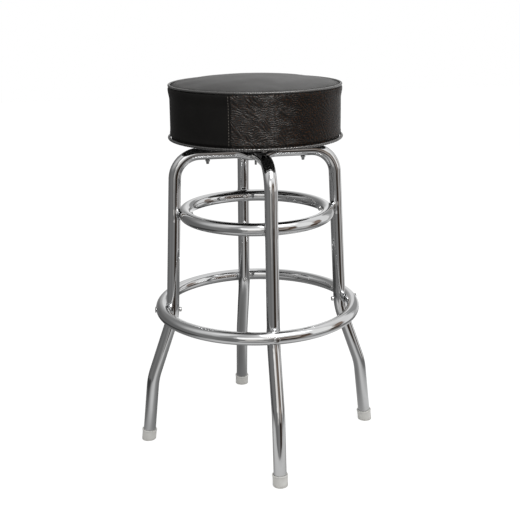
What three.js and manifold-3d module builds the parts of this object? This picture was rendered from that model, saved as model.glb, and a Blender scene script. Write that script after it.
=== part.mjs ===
import * as THREE from "three";
import { mergeVertices } from "three/addons/utils/BufferGeometryUtils.js";
import Module from "manifold-3d";

const wasm = await Module();
wasm.setup();

// Diner counter stool on two crossed tube frames, with an upper brace ring inside the legs,
// a foot ring outside them, a ball-bearing swivel and a round drum cushion.
// Lengths are millimetres, +Z is up, and the origin is on the floor under the swivel's axis.
// The left-right frame lies in the XZ plane and the front leg stands on -Y.

// Overall sizes and the gap that is left between pieces that touch on the real stool
const overallHeight = 762;
const seatGap = 0.3;
const cutOverrun = 4;
const mergeDistance = 0.0003;

// Frame tube, bent cold from one length for each pair of opposite legs
const tubeDiameter = 25.4;
const tubeWall = 1.6;
const tubeRadius = tubeDiameter / 2;

// Leg line: where its axis meets the floor, the splayed knee and the bends. Radii on the legs
// are shares of the foot circle's, and heights are shares of the arms' height.
const footCircleRadius = 237.3;
const lowerKneeRadiusShare = 0.9413;
const lowerKneeHeightShare = 0.2229;
const upperKneeDrop = 18.3;
const kneeBendRadius = 150;
const topBendRadius = 50.8;

// Rings, and how deep each leg is pressed in where a ring seats against it
const footRingRadiusShare = 0.8403;
const footRingHeightShare = 0.4682;
const upperRingRadiusShare = 0.6185;
const upperRingHeightShare = 0.7953;
const saddleDepth = 3.8;

// Flattened crossing of the two frames under the swivel, and the bolt that goes through it
const crossingThickness = 15;
const crossingFlatLength = 16;
const crossingBlendLength = 36;
const crossingBoltDiameter = 5;
const crossingBoltHeadDiameter = 9.5;
const crossingBoltHeadHeight = 2.4;
const crossingBoltEnd = 10;

// Foot caps, pushed over the tube ends
const capWall = 1.7;
const capHeight = 22;
const capSole = 2.5;
const capBead = 0.8;
const capBeadHeight = 3.2;

// Ring bolts: the foot ring's have low broad heads outside and round sleeve nuts inside the
// legs' circle, and the upper ring's have button heads and weld nuts inside the tubes
const ringBoltDiameter = 6.4;
const footBoltHeadDiameter = 13.6;
const footBoltHeadHeight = 2;
const upperBoltHeadDiameter = 12;
const upperBoltHeadHeight = 3.8;
const sleeveNutDiameter = 9.6;
const sleeveNutHeight = 5;
const sleeveNutCrown = 1.4;
const weldNutWidth = 10;
const weldNutHeight = 5;
const boltTip = 1;
const buttonHeadShares = [[1, 0.24], [0.78, 0.72], [0.4, 0.95]];

// Swivel: two stamped square plates with a raised disc, a ball race and a hollow rivet. The
// disc and the race are shares of the plate's side.
const swivelHeight = 19;
const plateThickness = 2.3;
const plateCornerRadius = 12;
const discGap = 2.3;
const discShare = 0.315;
const discSkirt = 7;
const raceShare = 0.2424;
const ballDiameter = 6.35;
const ballCount = 12;
const grooveClearance = 0.6;
const cageWidth = 12;
const cageThickness = 0.8;
const rivetDiameter = 20;
const rivetWall = 2;
const rivetFlange = 3.4;

// Swivel bolts through the arms on the plate's diagonals: each stands inset from where its arm
// starts to bend, and the plate's square corner reaches past it
const boltInset = 16.4;
const boltCorner = 13.7;
const swivelBoltDiameter = 6.4;
const swivelBoltHeadWidth = 11;
const swivelBoltHeadHeight = 4.2;
const swivelNutWidth = 9.6;
const swivelNutHeight = 3.6;
const swivelBoltEnd = 4.9;

// Seat screws, up into the board
const seatScrewDiameter = 5;
const seatScrewHeadDiameter = 9.5;
const seatScrewHeadHeight = 2.8;
const seatScrewBite = 9;
const panHeadShares = [0.6, 0.5];

// Seat: plywood board, foam pad and a boxed vinyl cover with two welts. The side band is drawn in
// at its lower seam and swells into a shoulder under the top welt.
const seatThickness = 119.4;
const seatDiameter = 342;
const vinyl = 1.2;
const boardThickness = 12;
const boardChamfer = 2;
const crownHeight = 13.2;
const crownPowerShare = 2.4;
const drawIn = 1.2;
const drawInHeight = 8;
const shoulderSwell = 2.6;
const shoulderHeight = 26;
const shoulderShares = [[1, 0], [0.58, 0.4], [0.24, 1], [0, 0.6]];
const topWeltDiameter = 4.8;
const bottomWeltDiameter = 5.4;
const coverFlange = 20;
const dustCoverThickness = 0.8;
const dustCoverLap = 9;

// Facet counts and the turn of one facet in a bend
const tubeSides = 12;
const boreSides = 8;
const ringBoreSides = 6;
const ringFacets = 32;
const ringTubeSides = 10;
const seatFacets = 32;
const weltSides = 6;
const swivelFacets = 24;
const boltSides = 8;
const rivetSides = 16;
const pocketSides = 8;
const capSides = 16;
const hexagonSides = 6;
const plateCornerFacets = 4;
const ballWidthFacets = 6;
const ballHeightFacets = 4;
const crownSteps = 5;
const grooveSteps = 4;
const grooveBackSteps = 2;
const topBendStep = Math.PI / 14;
const kneeBendStep = Math.PI / 34;
const ringFacetTurn = (2 * Math.PI) / ringFacets;

function point(x, y) {
  return new THREE.Vector2(x, y);
}

// Heights that follow down from the crown, through the seat and swivel to the frame's arms
const boardBottom = overallHeight - seatThickness;
const coverBottom = boardBottom - seatGap - vinyl;
const dustCoverTop = boardBottom - seatGap;
const swivelTop = dustCoverTop - dustCoverThickness - seatGap;
const swivelBottom = swivelTop - swivelHeight;
const armHeight = swivelBottom - seatGap - tubeRadius;
const bearingHeight = (swivelTop + swivelBottom) / 2;

// The leg's straight stretch runs between the rings, at one distance from both tube centres
const ringStandoff = tubeDiameter - saddleDepth + seatGap;
const ringCentres = {
  foot: point(footCircleRadius * footRingRadiusShare, armHeight * footRingHeightShare),
  upper: point(footCircleRadius * upperRingRadiusShare, armHeight * upperRingHeightShare),
};
const ringStep = ringCentres.foot.clone().sub(ringCentres.upper);
const ringStepTurn = Math.abs(ringStep.angle() - 2 * Math.PI);
const legLean = Math.acos((2 * ringStandoff) / ringStep.length()) - ringStepTurn;
const legOutward = new THREE.Vector2(Math.cos(legLean), Math.sin(legLean));
const legUp = new THREE.Vector2(-legOutward.y, legOutward.x);

const finishes = {
  chrome: { color: 0xc9cbcc, roughness: 0.08, metalness: 1 },
  zinc: { color: 0x8d9092, roughness: 0.35, metalness: 1 },
  blackSteel: { color: 0x17181a, roughness: 0.45, metalness: 0.6 },
  cap: { color: 0xcfd0cd, roughness: 0.5, metalness: 0 },
  vinyl: { color: 0x151414, roughness: 0.42, metalness: 0 },
  plywood: { color: 0xb08a5a, roughness: 0.8, metalness: 0 },
  foam: { color: 0xd9cfa8, roughness: 0.95, metalness: 0 },
  cloth: { color: 0x1b1b1c, roughness: 0.95, metalness: 0 },
};

function solid(geometry) {
  const bare = geometry.clone();
  bare.deleteAttribute("normal");
  bare.deleteAttribute("uv");
  const merged = mergeVertices(bare, mergeDistance);
  const vertProperties = new Float32Array(merged.attributes.position.array);
  const triVerts = new Uint32Array(merged.index.array);
  return new wasm.Manifold(new wasm.Mesh({ numProp: 3, vertProperties, triVerts }));
}

function geometryOf(manifold) {
  const mesh = manifold.getMesh();
  const geometry = new THREE.BufferGeometry();
  geometry.setAttribute("position", new THREE.BufferAttribute(mesh.vertProperties, 3));
  geometry.setIndex(new THREE.BufferAttribute(mesh.triVerts, 1));
  geometry.computeVertexNormals();
  return geometry;
}

// A profile of (radius, height) points turned about Z, counter-clockwise points facing out
function revolve(profile, facets, turn = 0) {
  const geometry = new THREE.LatheGeometry(profile, facets, turn);
  return geometry.rotateX(Math.PI / 2);
}

function closed(profile) {
  return [...profile, profile[0].clone()];
}

function onCircle(centre, radius, angle) {
  return point(centre.x + radius * Math.cos(angle), centre.y + radius * Math.sin(angle));
}

function circle(centre, radius, sides) {
  const turns = Array.from({ length: sides }, (_, i) => (i / sides) * 2 * Math.PI);
  return turns.map((angle) => onCircle(centre, radius, angle));
}

function arc(centre, radius, from, to, steps) {
  const turns = Array.from({ length: steps + 1 }, (_, i) => from + ((to - from) * i) / steps);
  return turns.map((angle) => onCircle(centre, radius, angle));
}

// A straight round cutter along Z
function roundCutter(radius, from, to) {
  return revolve([point(0, from), point(radius, from), point(radius, to), point(0, to)], boltSides);
}

const zAxis = new THREE.Vector3(0, 0, 1);

function placed(geometry, position, direction) {
  const turn = new THREE.Quaternion().setFromUnitVectors(zAxis, direction);
  return geometry.clone().applyQuaternion(turn).translate(position.x, position.y, position.z);
}

function inLegPlane(flat) {
  return new THREE.Vector3(flat.x, 0, flat.y);
}

// A hexagon prism with a bore, standing on height 0
function hexPrism(width, height, bore) {
  const corner = width / Math.sqrt(3);
  const outline = new THREE.Shape(circle(point(0, 0), corner, hexagonSides));
  if (bore > 0) {
    outline.holes.push(new THREE.Path(circle(point(0, 0), bore, boltSides)));
  }
  return new THREE.ExtrudeGeometry(outline, { depth: height, bevelEnabled: false });
}

// Frame centreline: straight stretches joined by arcs, in (radius, height)
function bentPath(corners, radii) {
  const path = new THREE.CurvePath();
  let from = corners[0];
  radii.forEach((radius, i) => {
    const corner = corners[i + 1];
    const back = corners[i].clone().sub(corner).normalize();
    const ahead = corners[i + 2].clone().sub(corner).normalize();
    const half = Math.acos(back.dot(ahead)) / 2;
    const start = corner.clone().addScaledVector(back, radius / Math.tan(half));
    const end = corner.clone().addScaledVector(ahead, radius / Math.tan(half));
    const inside = back.clone().add(ahead).normalize();
    const centre = corner.clone().addScaledVector(inside, radius / Math.sin(half));
    const clockwise = back.cross(ahead) > 0;
    const [fromAngle, toAngle] = [start, end].map((at) => at.clone().sub(centre).angle());
    path.add(new THREE.LineCurve(from, start));
    path.add(new THREE.EllipseCurve(centre.x, centre.y, radius, radius, fromAngle, toAngle, clockwise));
    from = end;
  });
  path.add(new THREE.LineCurve(from, corners[corners.length - 1]));
  return path;
}

function onLegLine(height) {
  const seat = ringCentres.upper.clone().addScaledVector(legOutward, ringStandoff);
  return seat.clone().addScaledVector(legUp, (height - seat.y) / legUp.y);
}

// The leg below its lower knee, and the cap's sole, which is thinnest under its outer edge
const footPoint = point(footCircleRadius, 0);
const lowerKnee = point(footCircleRadius * lowerKneeRadiusShare, armHeight * lowerKneeHeightShare);
const footUp = lowerKnee.clone().sub(footPoint).normalize();
const capInner = tubeRadius + seatGap;
const capOuter = capInner + capWall;
const soleDepth = capSole + (capOuter * Math.abs(footUp.x)) / footUp.y;

// The arms are straight as far as their top bends, which sets the bolts and the swivel's plates
const armCorner = onLegLine(armHeight);
const armStraight = armCorner.x - topBendRadius * Math.tan((Math.PI / 2 - legLean) / 2);
const boltCircleRadius = armStraight - boltInset;
const plateSide = (boltCircleRadius + boltCorner) * Math.SQRT2;
const discRadius = plateSide * discShare;
const raceRadius = plateSide * raceShare;

function legFramePath() {
  const end = footPoint.clone().addScaledVector(footUp, soleDepth + seatGap);
  const right = [armCorner, onLegLine(ringCentres.foot.y - upperKneeDrop), lowerKnee, end];
  const left = right.map((corner) => point(-corner.x, corner.y)).reverse();
  const radii = [kneeBendRadius, kneeBendRadius, topBendRadius];
  return bentPath([...left, ...right], [...radii, ...radii.slice().reverse()]);
}

// Each leg's two saddles: the ring tube's centre, the side of the leg that it presses and the
// length along the frame tube at which it seats
function saddlesOf(path) {
  const total = path.getLength();
  const [stretch, from] = [path.curves[4], path.getCurveLengths()[3]];
  const start = point(-stretch.v1.x, stretch.v1.y);
  const rings = [
    { centre: ringCentres.foot, side: 1 },
    { centre: ringCentres.upper, side: -1 },
  ];
  return rings.flatMap(({ centre, side }) => {
    const length = from + centre.clone().sub(start).dot(legUp);
    const left = point(-centre.x, centre.y);
    return [{ centre: left, side, length }, { centre, side, length: total - length }];
  });
}

function stationsOf(path, features) {
  const ends = path.getCurveLengths();
  const plain = [0];
  path.curves.forEach((curve, i) => {
    const start = i > 0 ? ends[i - 1] : 0;
    const span = ends[i] - start;
    const step = curve.xRadius === topBendRadius ? topBendStep : kneeBendStep;
    const steps = curve.isEllipseCurve ? Math.ceil(span / curve.xRadius / step) : 1;
    for (let k = 1; k <= steps; k += 1) {
      plain.push(start + (span * k) / steps);
    }
  });
  const nearest = tubeRadius / 6;
  const kept = plain.filter((s) => features.every((at) => Math.abs(at - s) > nearest));
  return [...kept, ...features].sort((a, b) => a - b);
}

const skinShares = {
  saddle: [-0.95, -0.62, -0.3, 0, 0.3, 0.62, 0.95],
  crossing: [-1, -0.68, -0.4, -0.2, 0.2, 0.4, 0.68, 1],
};
const boreShares = {
  saddle: [-0.95, -0.45, 0, 0.45, 0.95],
  crossing: [-1, -0.6, -0.2, 0.2, 0.6, 1],
};

function smooth(t) {
  const x = Math.min(Math.max(t, 0), 1);
  return x * x * (3 - 2 * x);
}

// Width that a round tube takes when it is pressed to a given thickness with its girth kept
function pressedWidth(thickness) {
  return thickness + (Math.PI * (tubeDiameter - thickness)) / 2;
}

// The frame tube's skin: round, pressed in where a ring seats, flattened and set down or kept
// level where the frames cross. inset is 0 for the outside and the wall for the bore.
function frameSkin(path, stations, saddles, sides, inset, crossingDrop, overrun) {
  const total = path.getLength();
  const radius = tubeRadius - inset;
  const seatRadius = tubeRadius + seatGap;
  const flatHalf = crossingThickness / 2 - inset;
  const wideHalf = pressedWidth(crossingThickness) / 2 - inset;
  const sections = stations.map((s, index) => {
    const at = path.getPoint(s / total);
    const tangent = path.getTangent(s / total);
    const outward = point(-tangent.y, tangent.x);
    const isEnd = index === 0 || index === stations.length - 1;
    if (isEnd) {
      at.addScaledVector(tangent, index === 0 ? -overrun : overrun);
    }
    const fromCrossing = Math.abs(s - total / 2) - crossingFlatLength / 2;
    const press = 1 - smooth(fromCrossing / crossingBlendLength);
    const tall = radius + (flatHalf - radius) * press;
    const wide = radius + (wideHalf - radius) * press;
    return circle(point(0, 0), 1, sides).map((unit) => {
      let across = unit.x * tall;
      saddles.forEach(({ centre, side }) => {
        const toRing = centre.clone().sub(at);
        const reach = Math.abs(toRing.dot(tangent));
        if (reach < seatRadius && toRing.length() < 2 * tubeDiameter) {
          const limit = side * toRing.dot(outward) - Math.sqrt(seatRadius ** 2 - reach ** 2) - inset;
          across = side * Math.min(side * across, limit);
        }
      });
      const flat = at.clone().addScaledVector(outward, across - crossingDrop * press);
      return new THREE.Vector3(flat.x, -unit.y * wide, flat.y);
    });
  });
  return loft(sections);
}

// A closed skin over rings of points, with a flat fan at each end
function loft(sections) {
  const sides = sections[0].length;
  const positions = sections.flat().flatMap((at) => at.toArray());
  const index = [];
  for (let row = 0; row + 1 < sections.length; row += 1) {
    for (let i = 0; i < sides; i += 1) {
      const [a, b] = [row * sides + i, row * sides + ((i + 1) % sides)];
      index.push(a, b, b + sides, a, b + sides, a + sides);
    }
  }
  const last = (sections.length - 1) * sides;
  for (let i = 1; i + 1 < sides; i += 1) {
    index.push(0, i + 1, i);
    index.push(last, last + i, last + i + 1);
  }
  const geometry = new THREE.BufferGeometry();
  geometry.setAttribute("position", new THREE.Float32BufferAttribute(positions, 3));
  geometry.setIndex(index);
  return geometry;
}

const mirrorSides = [-1, 1];

function legFrame(crossingDrop) {
  const path = legFramePath();
  const saddles = saddlesOf(path);
  const middle = path.getLength() / 2;
  const blend = crossingFlatLength / 2 + crossingBlendLength;
  const stations = ({ saddle, crossing }) => stationsOf(path, [
    ...saddles.flatMap(({ length }) => saddle.map((share) => length + share * tubeRadius)),
    ...crossing.map((share) => middle + share * blend),
  ]);
  const skin = solid(frameSkin(path, stations(skinShares), saddles, tubeSides, 0, crossingDrop, 0));
  const hollow = frameSkin(
    path, stations(boreShares), saddles, boreSides, tubeWall, crossingDrop, cutOverrun,
  );
  const ringHole = ringBoltDiameter / 2 + seatGap;
  const boltHole = swivelBoltDiameter / 2 + seatGap;
  const reach = ringStandoff + tubeDiameter;
  const cuts = mirrorSides.flatMap((side) => {
    const facing = (flat) => new THREE.Vector3(side * flat.x, 0, flat.y);
    const through = roundCutter(ringHole, -reach, tubeRadius);
    const oneWall = roundCutter(ringHole, 0, ringStandoff);
    const upright = roundCutter(boltHole, armHeight - tubeDiameter, armHeight + tubeDiameter);
    return [
      placed(through, facing(ringCentres.foot), facing(legOutward)),
      placed(oneWall, facing(ringCentres.upper), facing(legOutward)),
      upright.translate(side * boltCircleRadius, 0, 0),
    ];
  });
  const crossingHole = crossingBoltDiameter / 2 + seatGap;
  cuts.push(roundCutter(crossingHole, armHeight - 2 * tubeDiameter, armHeight + tubeDiameter));
  return geometryOf(cuts.reduce((body, cut) => body.subtract(solid(cut)), skin.subtract(solid(hollow))));
}

const legs = [
  { name: "right", turn: 0 },
  { name: "back", turn: Math.PI / 2 },
  { name: "left", turn: Math.PI },
  { name: "front", turn: (3 * Math.PI) / 2 },
];

// A ring of tube whose facets stand outside its circle, with one facet square to each leg
function ring(centre) {
  const scale = 1 / Math.cos(ringFacetTurn / 2);
  const skinOf = (radius, sides) => {
    const outline = circle(point(centre.x, centre.y), radius, sides);
    const spread = outline.map((at) => point(at.x * scale, at.y));
    return solid(revolve(closed(spread), ringFacets, -ringFacetTurn / 2));
  };
  const hole = roundCutter(ringBoltDiameter / 2 + seatGap, -tubeDiameter, tubeDiameter);
  let body = skinOf(tubeRadius, ringTubeSides).subtract(skinOf(tubeRadius - tubeWall, ringBoreSides));
  legs.forEach(({ turn }) => {
    const cutter = placed(hole, inLegPlane(centre), inLegPlane(legOutward)).rotateZ(turn);
    body = body.subtract(solid(cutter));
  });
  return geometryOf(body);
}

function footCap() {
  const lip = capOuter + capBead;
  const beadFoot = capHeight - capBeadHeight;
  const cup = revolve([
    point(0, -soleDepth),
    point(capOuter, -soleDepth),
    point(capOuter, beadFoot),
    point(lip, beadFoot + capBead),
    point(lip, capHeight - capBead),
    point(capOuter, capHeight),
    point(capInner, capHeight),
    point(capInner, soleDepth),
    point(0, soleDepth),
  ], capSides);
  const block = new THREE.BoxGeometry(4 * lip, 4 * lip, 4 * soleDepth);
  const floorCut = block.translate(footPoint.x, 0, -2 * soleDepth);
  const cap = solid(placed(cup, inLegPlane(footPoint), inLegPlane(footUp)));
  return geometryOf(cap.subtract(solid(floorCut)));
}

// Button head on height 0, shank below it
function buttonBolt(diameter, headDiameter, headHeight, length) {
  const head = headDiameter / 2;
  const shank = diameter / 2;
  return revolve([
    point(0, -length),
    point(shank - boltTip, -length),
    point(shank, boltTip - length),
    point(shank, 0),
    point(head, 0),
    ...buttonHeadShares.map(([out, up]) => point(head * out, headHeight * up)),
    point(0, headHeight),
  ], boltSides);
}

const nutBite = sleeveNutHeight - sleeveNutCrown - seatGap;
const footBoltLength = 2 * tubeRadius + ringStandoff + 2 * seatGap + nutBite;
const saddleWall = ringStandoff - (tubeRadius - saddleDepth) + tubeWall;
const upperBoltLength = tubeRadius + saddleWall + 2 * seatGap + weldNutHeight;

function footRingBolt() {
  return buttonBolt(ringBoltDiameter, footBoltHeadDiameter, footBoltHeadHeight, footBoltLength);
}

function upperRingBolt() {
  return buttonBolt(ringBoltDiameter, upperBoltHeadDiameter, upperBoltHeadHeight, upperBoltLength);
}

// The crossing's bolt goes down through both frames, and its end hangs below the lower one
function crossingBolt() {
  const length = 2 * crossingThickness + 2 * seatGap + crossingBoltEnd;
  return buttonBolt(crossingBoltDiameter, crossingBoltHeadDiameter, crossingBoltHeadHeight, length);
}

// Round nut with a button crown, bored from below as far as its crown
function sleeveNut() {
  const outer = sleeveNutDiameter / 2;
  const bore = ringBoltDiameter / 2 + seatGap;
  const depth = sleeveNutHeight - sleeveNutCrown;
  return revolve([
    point(0, depth),
    point(bore, depth),
    point(bore, 0),
    point(outer, 0),
    ...buttonHeadShares.map(([out, up]) => point(outer * out, sleeveNutHeight * up)),
    point(0, sleeveNutHeight),
  ], boltSides);
}

function weldNut() {
  return hexPrism(weldNutWidth, weldNutHeight, ringBoltDiameter / 2 + seatGap);
}

function swivelBolt() {
  const shank = swivelBoltDiameter / 2;
  const grip = plateThickness + 2 * seatGap + tubeDiameter + seatGap + swivelNutHeight + swivelBoltEnd;
  const stem = revolve([
    point(0, -grip),
    point(shank - boltTip, -grip),
    point(shank, boltTip - grip),
    point(shank, seatGap),
    point(0, seatGap),
  ], boltSides);
  return geometryOf(solid(hexPrism(swivelBoltHeadWidth, swivelBoltHeadHeight, 0)).add(solid(stem)));
}

// Nut hanging below height 0
function swivelNut() {
  const nut = hexPrism(swivelNutWidth, swivelNutHeight, swivelBoltDiameter / 2 + seatGap);
  return nut.translate(0, 0, -swivelNutHeight);
}

// One stamped plate: flat corners on height 0 outside, its disc raised with a ball groove
function swivelPlate(holeRadius) {
  const raise = (swivelHeight - discGap) / 2 - plateThickness;
  const discTop = raise + plateThickness;
  const ballCentre = point(raceRadius, discTop + discGap / 2);
  const groove = ballDiameter / 2 + grooveClearance;
  const under = groove + plateThickness;
  const dip = Math.asin((ballCentre.y - discTop) / groove);
  const underDip = Math.asin((ballCentre.y - raise) / under);
  const centreHole = rivetDiameter / 2 + seatGap;
  const skirtFoot = discRadius + discSkirt;
  const disc = revolve(closed([
    point(centreHole, raise),
    ...arc(ballCentre, under, Math.PI + underDip, 2 * Math.PI - underDip, grooveBackSteps),
    point(discRadius - plateThickness, raise),
    point(skirtFoot - plateThickness, 0),
    point(skirtFoot + plateThickness, 0),
    point(skirtFoot + plateThickness, plateThickness),
    point(skirtFoot, plateThickness),
    point(discRadius, discTop),
    ...arc(ballCentre, groove, 2 * Math.PI - dip, Math.PI + dip, grooveSteps),
    point(centreHole, discTop),
  ]), swivelFacets);
  const flange = new THREE.Shape();
  const half = plateSide / 2;
  const straight = half - plateCornerRadius;
  flange.moveTo(straight, -half);
  [0, 1, 2, 3].forEach((corner) => {
    const spin = (corner * Math.PI) / 2;
    const centre = point(straight, -straight).rotateAround(point(0, 0), spin);
    flange.absarc(centre.x, centre.y, plateCornerRadius, spin - Math.PI / 2, spin, false);
  });
  flange.closePath();
  const mouth = new THREE.Path(circle(point(0, 0), skirtFoot + plateThickness / 2, swivelFacets));
  flange.holes.push(mouth);
  const stamping = { depth: plateThickness, bevelEnabled: false, curveSegments: plateCornerFacets };
  const sheet = new THREE.ExtrudeGeometry(flange, stamping);
  sheet.rotateZ(Math.PI / 4);
  let body = solid(sheet).add(solid(disc));
  legs.forEach(({ turn }) => {
    const drill = roundCutter(holeRadius, -cutOverrun, plateThickness + cutOverrun);
    body = body.subtract(solid(drill.translate(boltCircleRadius, 0, 0).rotateZ(turn)));
  });
  return geometryOf(body);
}

function ballCage() {
  const outline = new THREE.Shape(circle(point(0, 0), raceRadius + cageWidth / 2, swivelFacets));
  outline.holes.push(new THREE.Path(circle(point(0, 0), raceRadius - cageWidth / 2, swivelFacets)));
  const pocket = ballDiameter / 2 + seatGap;
  for (let i = 0; i < ballCount; i += 1) {
    const centre = point(raceRadius, 0).rotateAround(point(0, 0), (i / ballCount) * 2 * Math.PI);
    outline.holes.push(new THREE.Path(circle(centre, pocket, pocketSides)));
  }
  const sheet = new THREE.ExtrudeGeometry(outline, { depth: cageThickness, bevelEnabled: false });
  return sheet.translate(0, 0, -cageThickness / 2);
}

function swivelRivet() {
  const outer = rivetDiameter / 2;
  const inner = outer - rivetWall;
  const half = discGap / 2 + plateThickness + seatGap;
  const tip = half + rivetWall;
  return revolve(closed([
    point(inner, -tip),
    point(outer + rivetFlange, -tip),
    point(outer + rivetFlange, -half),
    point(outer, -half),
    point(outer, half),
    point(outer + rivetFlange, half),
    point(outer + rivetFlange, tip),
    point(inner, tip),
  ]), rivetSides);
}

// Pan head below height 0, pointed shank above it
function seatScrew() {
  const shank = seatScrewDiameter / 2;
  const head = seatScrewHeadDiameter / 2;
  const tip = plateThickness + 3 * seatGap + dustCoverThickness + seatScrewBite;
  const [faceShare, edgeShare] = panHeadShares;
  return revolve([
    point(0, -seatScrewHeadHeight),
    point(head * faceShare, -seatScrewHeadHeight),
    point(head, -seatScrewHeadHeight * edgeShare),
    point(head, 0),
    point(shank, 0),
    point(shank, tip - seatScrewDiameter),
    point(0, tip),
  ], boltSides);
}

// Drills the four seat screw holes through a flat piece
function screwHoles(geometry, from, to) {
  let body = solid(geometry);
  legs.forEach(({ turn }) => {
    const drill = roundCutter(seatScrewDiameter / 2 + seatGap, from, to);
    body = body.subtract(solid(drill.translate(boltCircleRadius, 0, 0).rotateZ(turn)));
  });
  return geometryOf(body);
}

// Cover sizes: the band's outside, and the welt beads that sit on its two edges. The top welt
// stands out as far as the band's shoulder, and the lower one lies outside the band's edge.
const bandRadius = seatDiameter / 2;
const rimHeight = overallHeight - crownHeight;
const topBead = topWeltDiameter / 2;
const bottomBead = bottomWeltDiameter / 2;
const topWeltCentre = point(bandRadius + shoulderSwell - topBead, rimHeight - topBead);
const bottomWeltCentre = point(
  bandRadius - drawIn + 2 * seatGap + bottomBead, coverBottom + bottomBead - vinyl,
);
const panelRadius = topWeltCentre.x - topBead - seatGap;
const bandTop = topWeltCentre.y - topBead - seatGap;
const boardRadius = bandRadius - drawIn - vinyl - seatGap;

function seatBoard() {
  const top = boardBottom + boardThickness;
  const disc = revolve([
    point(0, boardBottom),
    point(boardRadius, boardBottom),
    point(boardRadius, top - boardChamfer),
    point(boardRadius - boardChamfer, top),
    point(0, top),
  ], seatFacets);
  const bite = boardBottom + seatScrewBite + 2 * seatGap;
  return screwHoles(disc, boardBottom - cutOverrun, bite);
}

// Height of the crowned top at a radius: flat over the middle and falling to the rim
function crownAt(radius) {
  const share = radius / panelRadius;
  return rimHeight - vinyl / 2 + (crownHeight + vinyl / 2) * (1 - share ** crownPowerShare);
}

function crownLine(drop, radius) {
  const steps = Array.from({ length: crownSteps + 1 }, (_, i) => radius * (i / crownSteps));
  return steps.map((at) => point(at, crownAt(at) - drop));
}

// The band from its lower seam up: drawn in, straight, and swollen into the shoulder
function bandLine(inset) {
  const shoulder = shoulderShares.map(([down, out]) => {
    return point(bandRadius + shoulderSwell * out - inset, bandTop - shoulderHeight * down);
  });
  return [
    point(bandRadius - drawIn - inset, coverBottom),
    point(bandRadius - inset, coverBottom + drawInHeight),
    ...shoulder,
  ];
}

function foamPad() {
  const bottom = boardBottom + boardThickness + seatGap;
  const side = bandLine(vinyl + seatGap).slice(2, -1);
  const top = crownLine(vinyl + seatGap, panelRadius - topBead).reverse();
  return revolve([point(0, bottom), point(boardRadius, bottom), ...side, ...top], seatFacets);
}

function topPanel() {
  const over = crownLine(0, panelRadius).reverse();
  const below = crownLine(vinyl, panelRadius);
  return revolve([...below, ...over], seatFacets);
}

function coverBand() {
  const outside = bandLine(0);
  const inside = bandLine(vinyl).slice(1).reverse();
  const flangeEdge = bandRadius - coverFlange;
  return revolve(closed([
    ...outside,
    ...inside,
    point(bandRadius - drawIn - vinyl, coverBottom + vinyl),
    point(flangeEdge, coverBottom + vinyl),
    point(flangeEdge, coverBottom),
  ]), seatFacets);
}

function welt(centre, bead) {
  return revolve(closed(circle(centre, bead, weltSides)), seatFacets);
}

// Cloth under the seat: stapled below the cover's flange and drawn up to the board inside it
function dustCover() {
  const inner = bandRadius - coverFlange - seatGap;
  const outer = inner + dustCoverLap + 2 * seatGap;
  const low = coverBottom - seatGap - dustCoverThickness;
  const high = dustCoverTop - dustCoverThickness;
  const step = inner - dustCoverThickness;
  const cloth = revolve([
    point(0, high),
    point(step, high),
    point(step, low),
    point(outer, low),
    point(outer, low + dustCoverThickness),
    point(inner, low + dustCoverThickness),
    point(inner, dustCoverTop),
    point(0, dustCoverTop),
  ], seatFacets);
  return screwHoles(cloth, high - cutOverrun, dustCoverTop + cutOverrun);
}

const stool = new THREE.Group();

function piece(parent, name, geometry, finish) {
  const mesh = new THREE.Mesh(geometry, new THREE.MeshStandardMaterial(finishes[finish]));
  mesh.name = name;
  parent.add(mesh);
  return mesh;
}

function aim(mesh, flat, direction) {
  mesh.position.copy(inLegPlane(flat));
  mesh.quaternion.setFromUnitVectors(zAxis, inLegPlane(direction));
}

// The left-right frame is pressed down under the front-back frame, whose top stays level
const upperDrop = crossingThickness / 2 - tubeRadius;
const lowerDrop = upperDrop + crossingThickness + seatGap;
piece(stool, "leg_frame_left_right", legFrame(lowerDrop), "chrome");
piece(stool, "leg_frame_front_back", legFrame(upperDrop), "chrome").rotation.z = Math.PI / 2;
piece(stool, "upper_ring", ring(ringCentres.upper), "chrome");
piece(stool, "foot_ring", ring(ringCentres.foot), "chrome");
piece(stool, "crossing_bolt", crossingBolt(), "zinc").position.z = armHeight + tubeRadius + seatGap;

const inward = legOutward.clone().negate();
const footHead = ringCentres.foot.clone().addScaledVector(legOutward, tubeRadius + seatGap);
const footNut = ringCentres.foot.clone().addScaledVector(inward, ringStandoff + tubeRadius + seatGap);
const upperHead = ringCentres.upper.clone().addScaledVector(inward, tubeRadius + seatGap);
const upperNut = ringCentres.upper.clone().addScaledVector(legOutward, saddleWall + seatGap);
const plateBolt = point(boltCircleRadius, swivelBottom + plateThickness + seatGap);
const armUnderside = point(boltCircleRadius, armHeight - tubeRadius - seatGap);
const screwSeat = point(boltCircleRadius, swivelTop - plateThickness - seatGap);
const upward = point(0, 1);

legs.forEach(({ name, turn }) => {
  const leg = new THREE.Group();
  leg.rotation.z = turn;
  stool.add(leg);
  piece(leg, `foot_cap_${name}`, footCap(), "cap");
  aim(piece(leg, `foot_ring_bolt_${name}`, footRingBolt(), "chrome"), footHead, legOutward);
  aim(piece(leg, `foot_ring_sleeve_nut_${name}`, sleeveNut(), "chrome"), footNut, inward);
  aim(piece(leg, `upper_ring_bolt_${name}`, upperRingBolt(), "chrome"), upperHead, inward);
  aim(piece(leg, `upper_ring_weld_nut_${name}`, weldNut(), "zinc"), upperNut, legOutward);
  aim(piece(leg, `swivel_bolt_${name}`, swivelBolt(), "zinc"), plateBolt, upward);
  aim(piece(leg, `swivel_nut_${name}`, swivelNut(), "zinc"), armUnderside, upward);
  aim(piece(leg, `seat_screw_${name}`, seatScrew(), "zinc"), screwSeat, upward);
});

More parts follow.
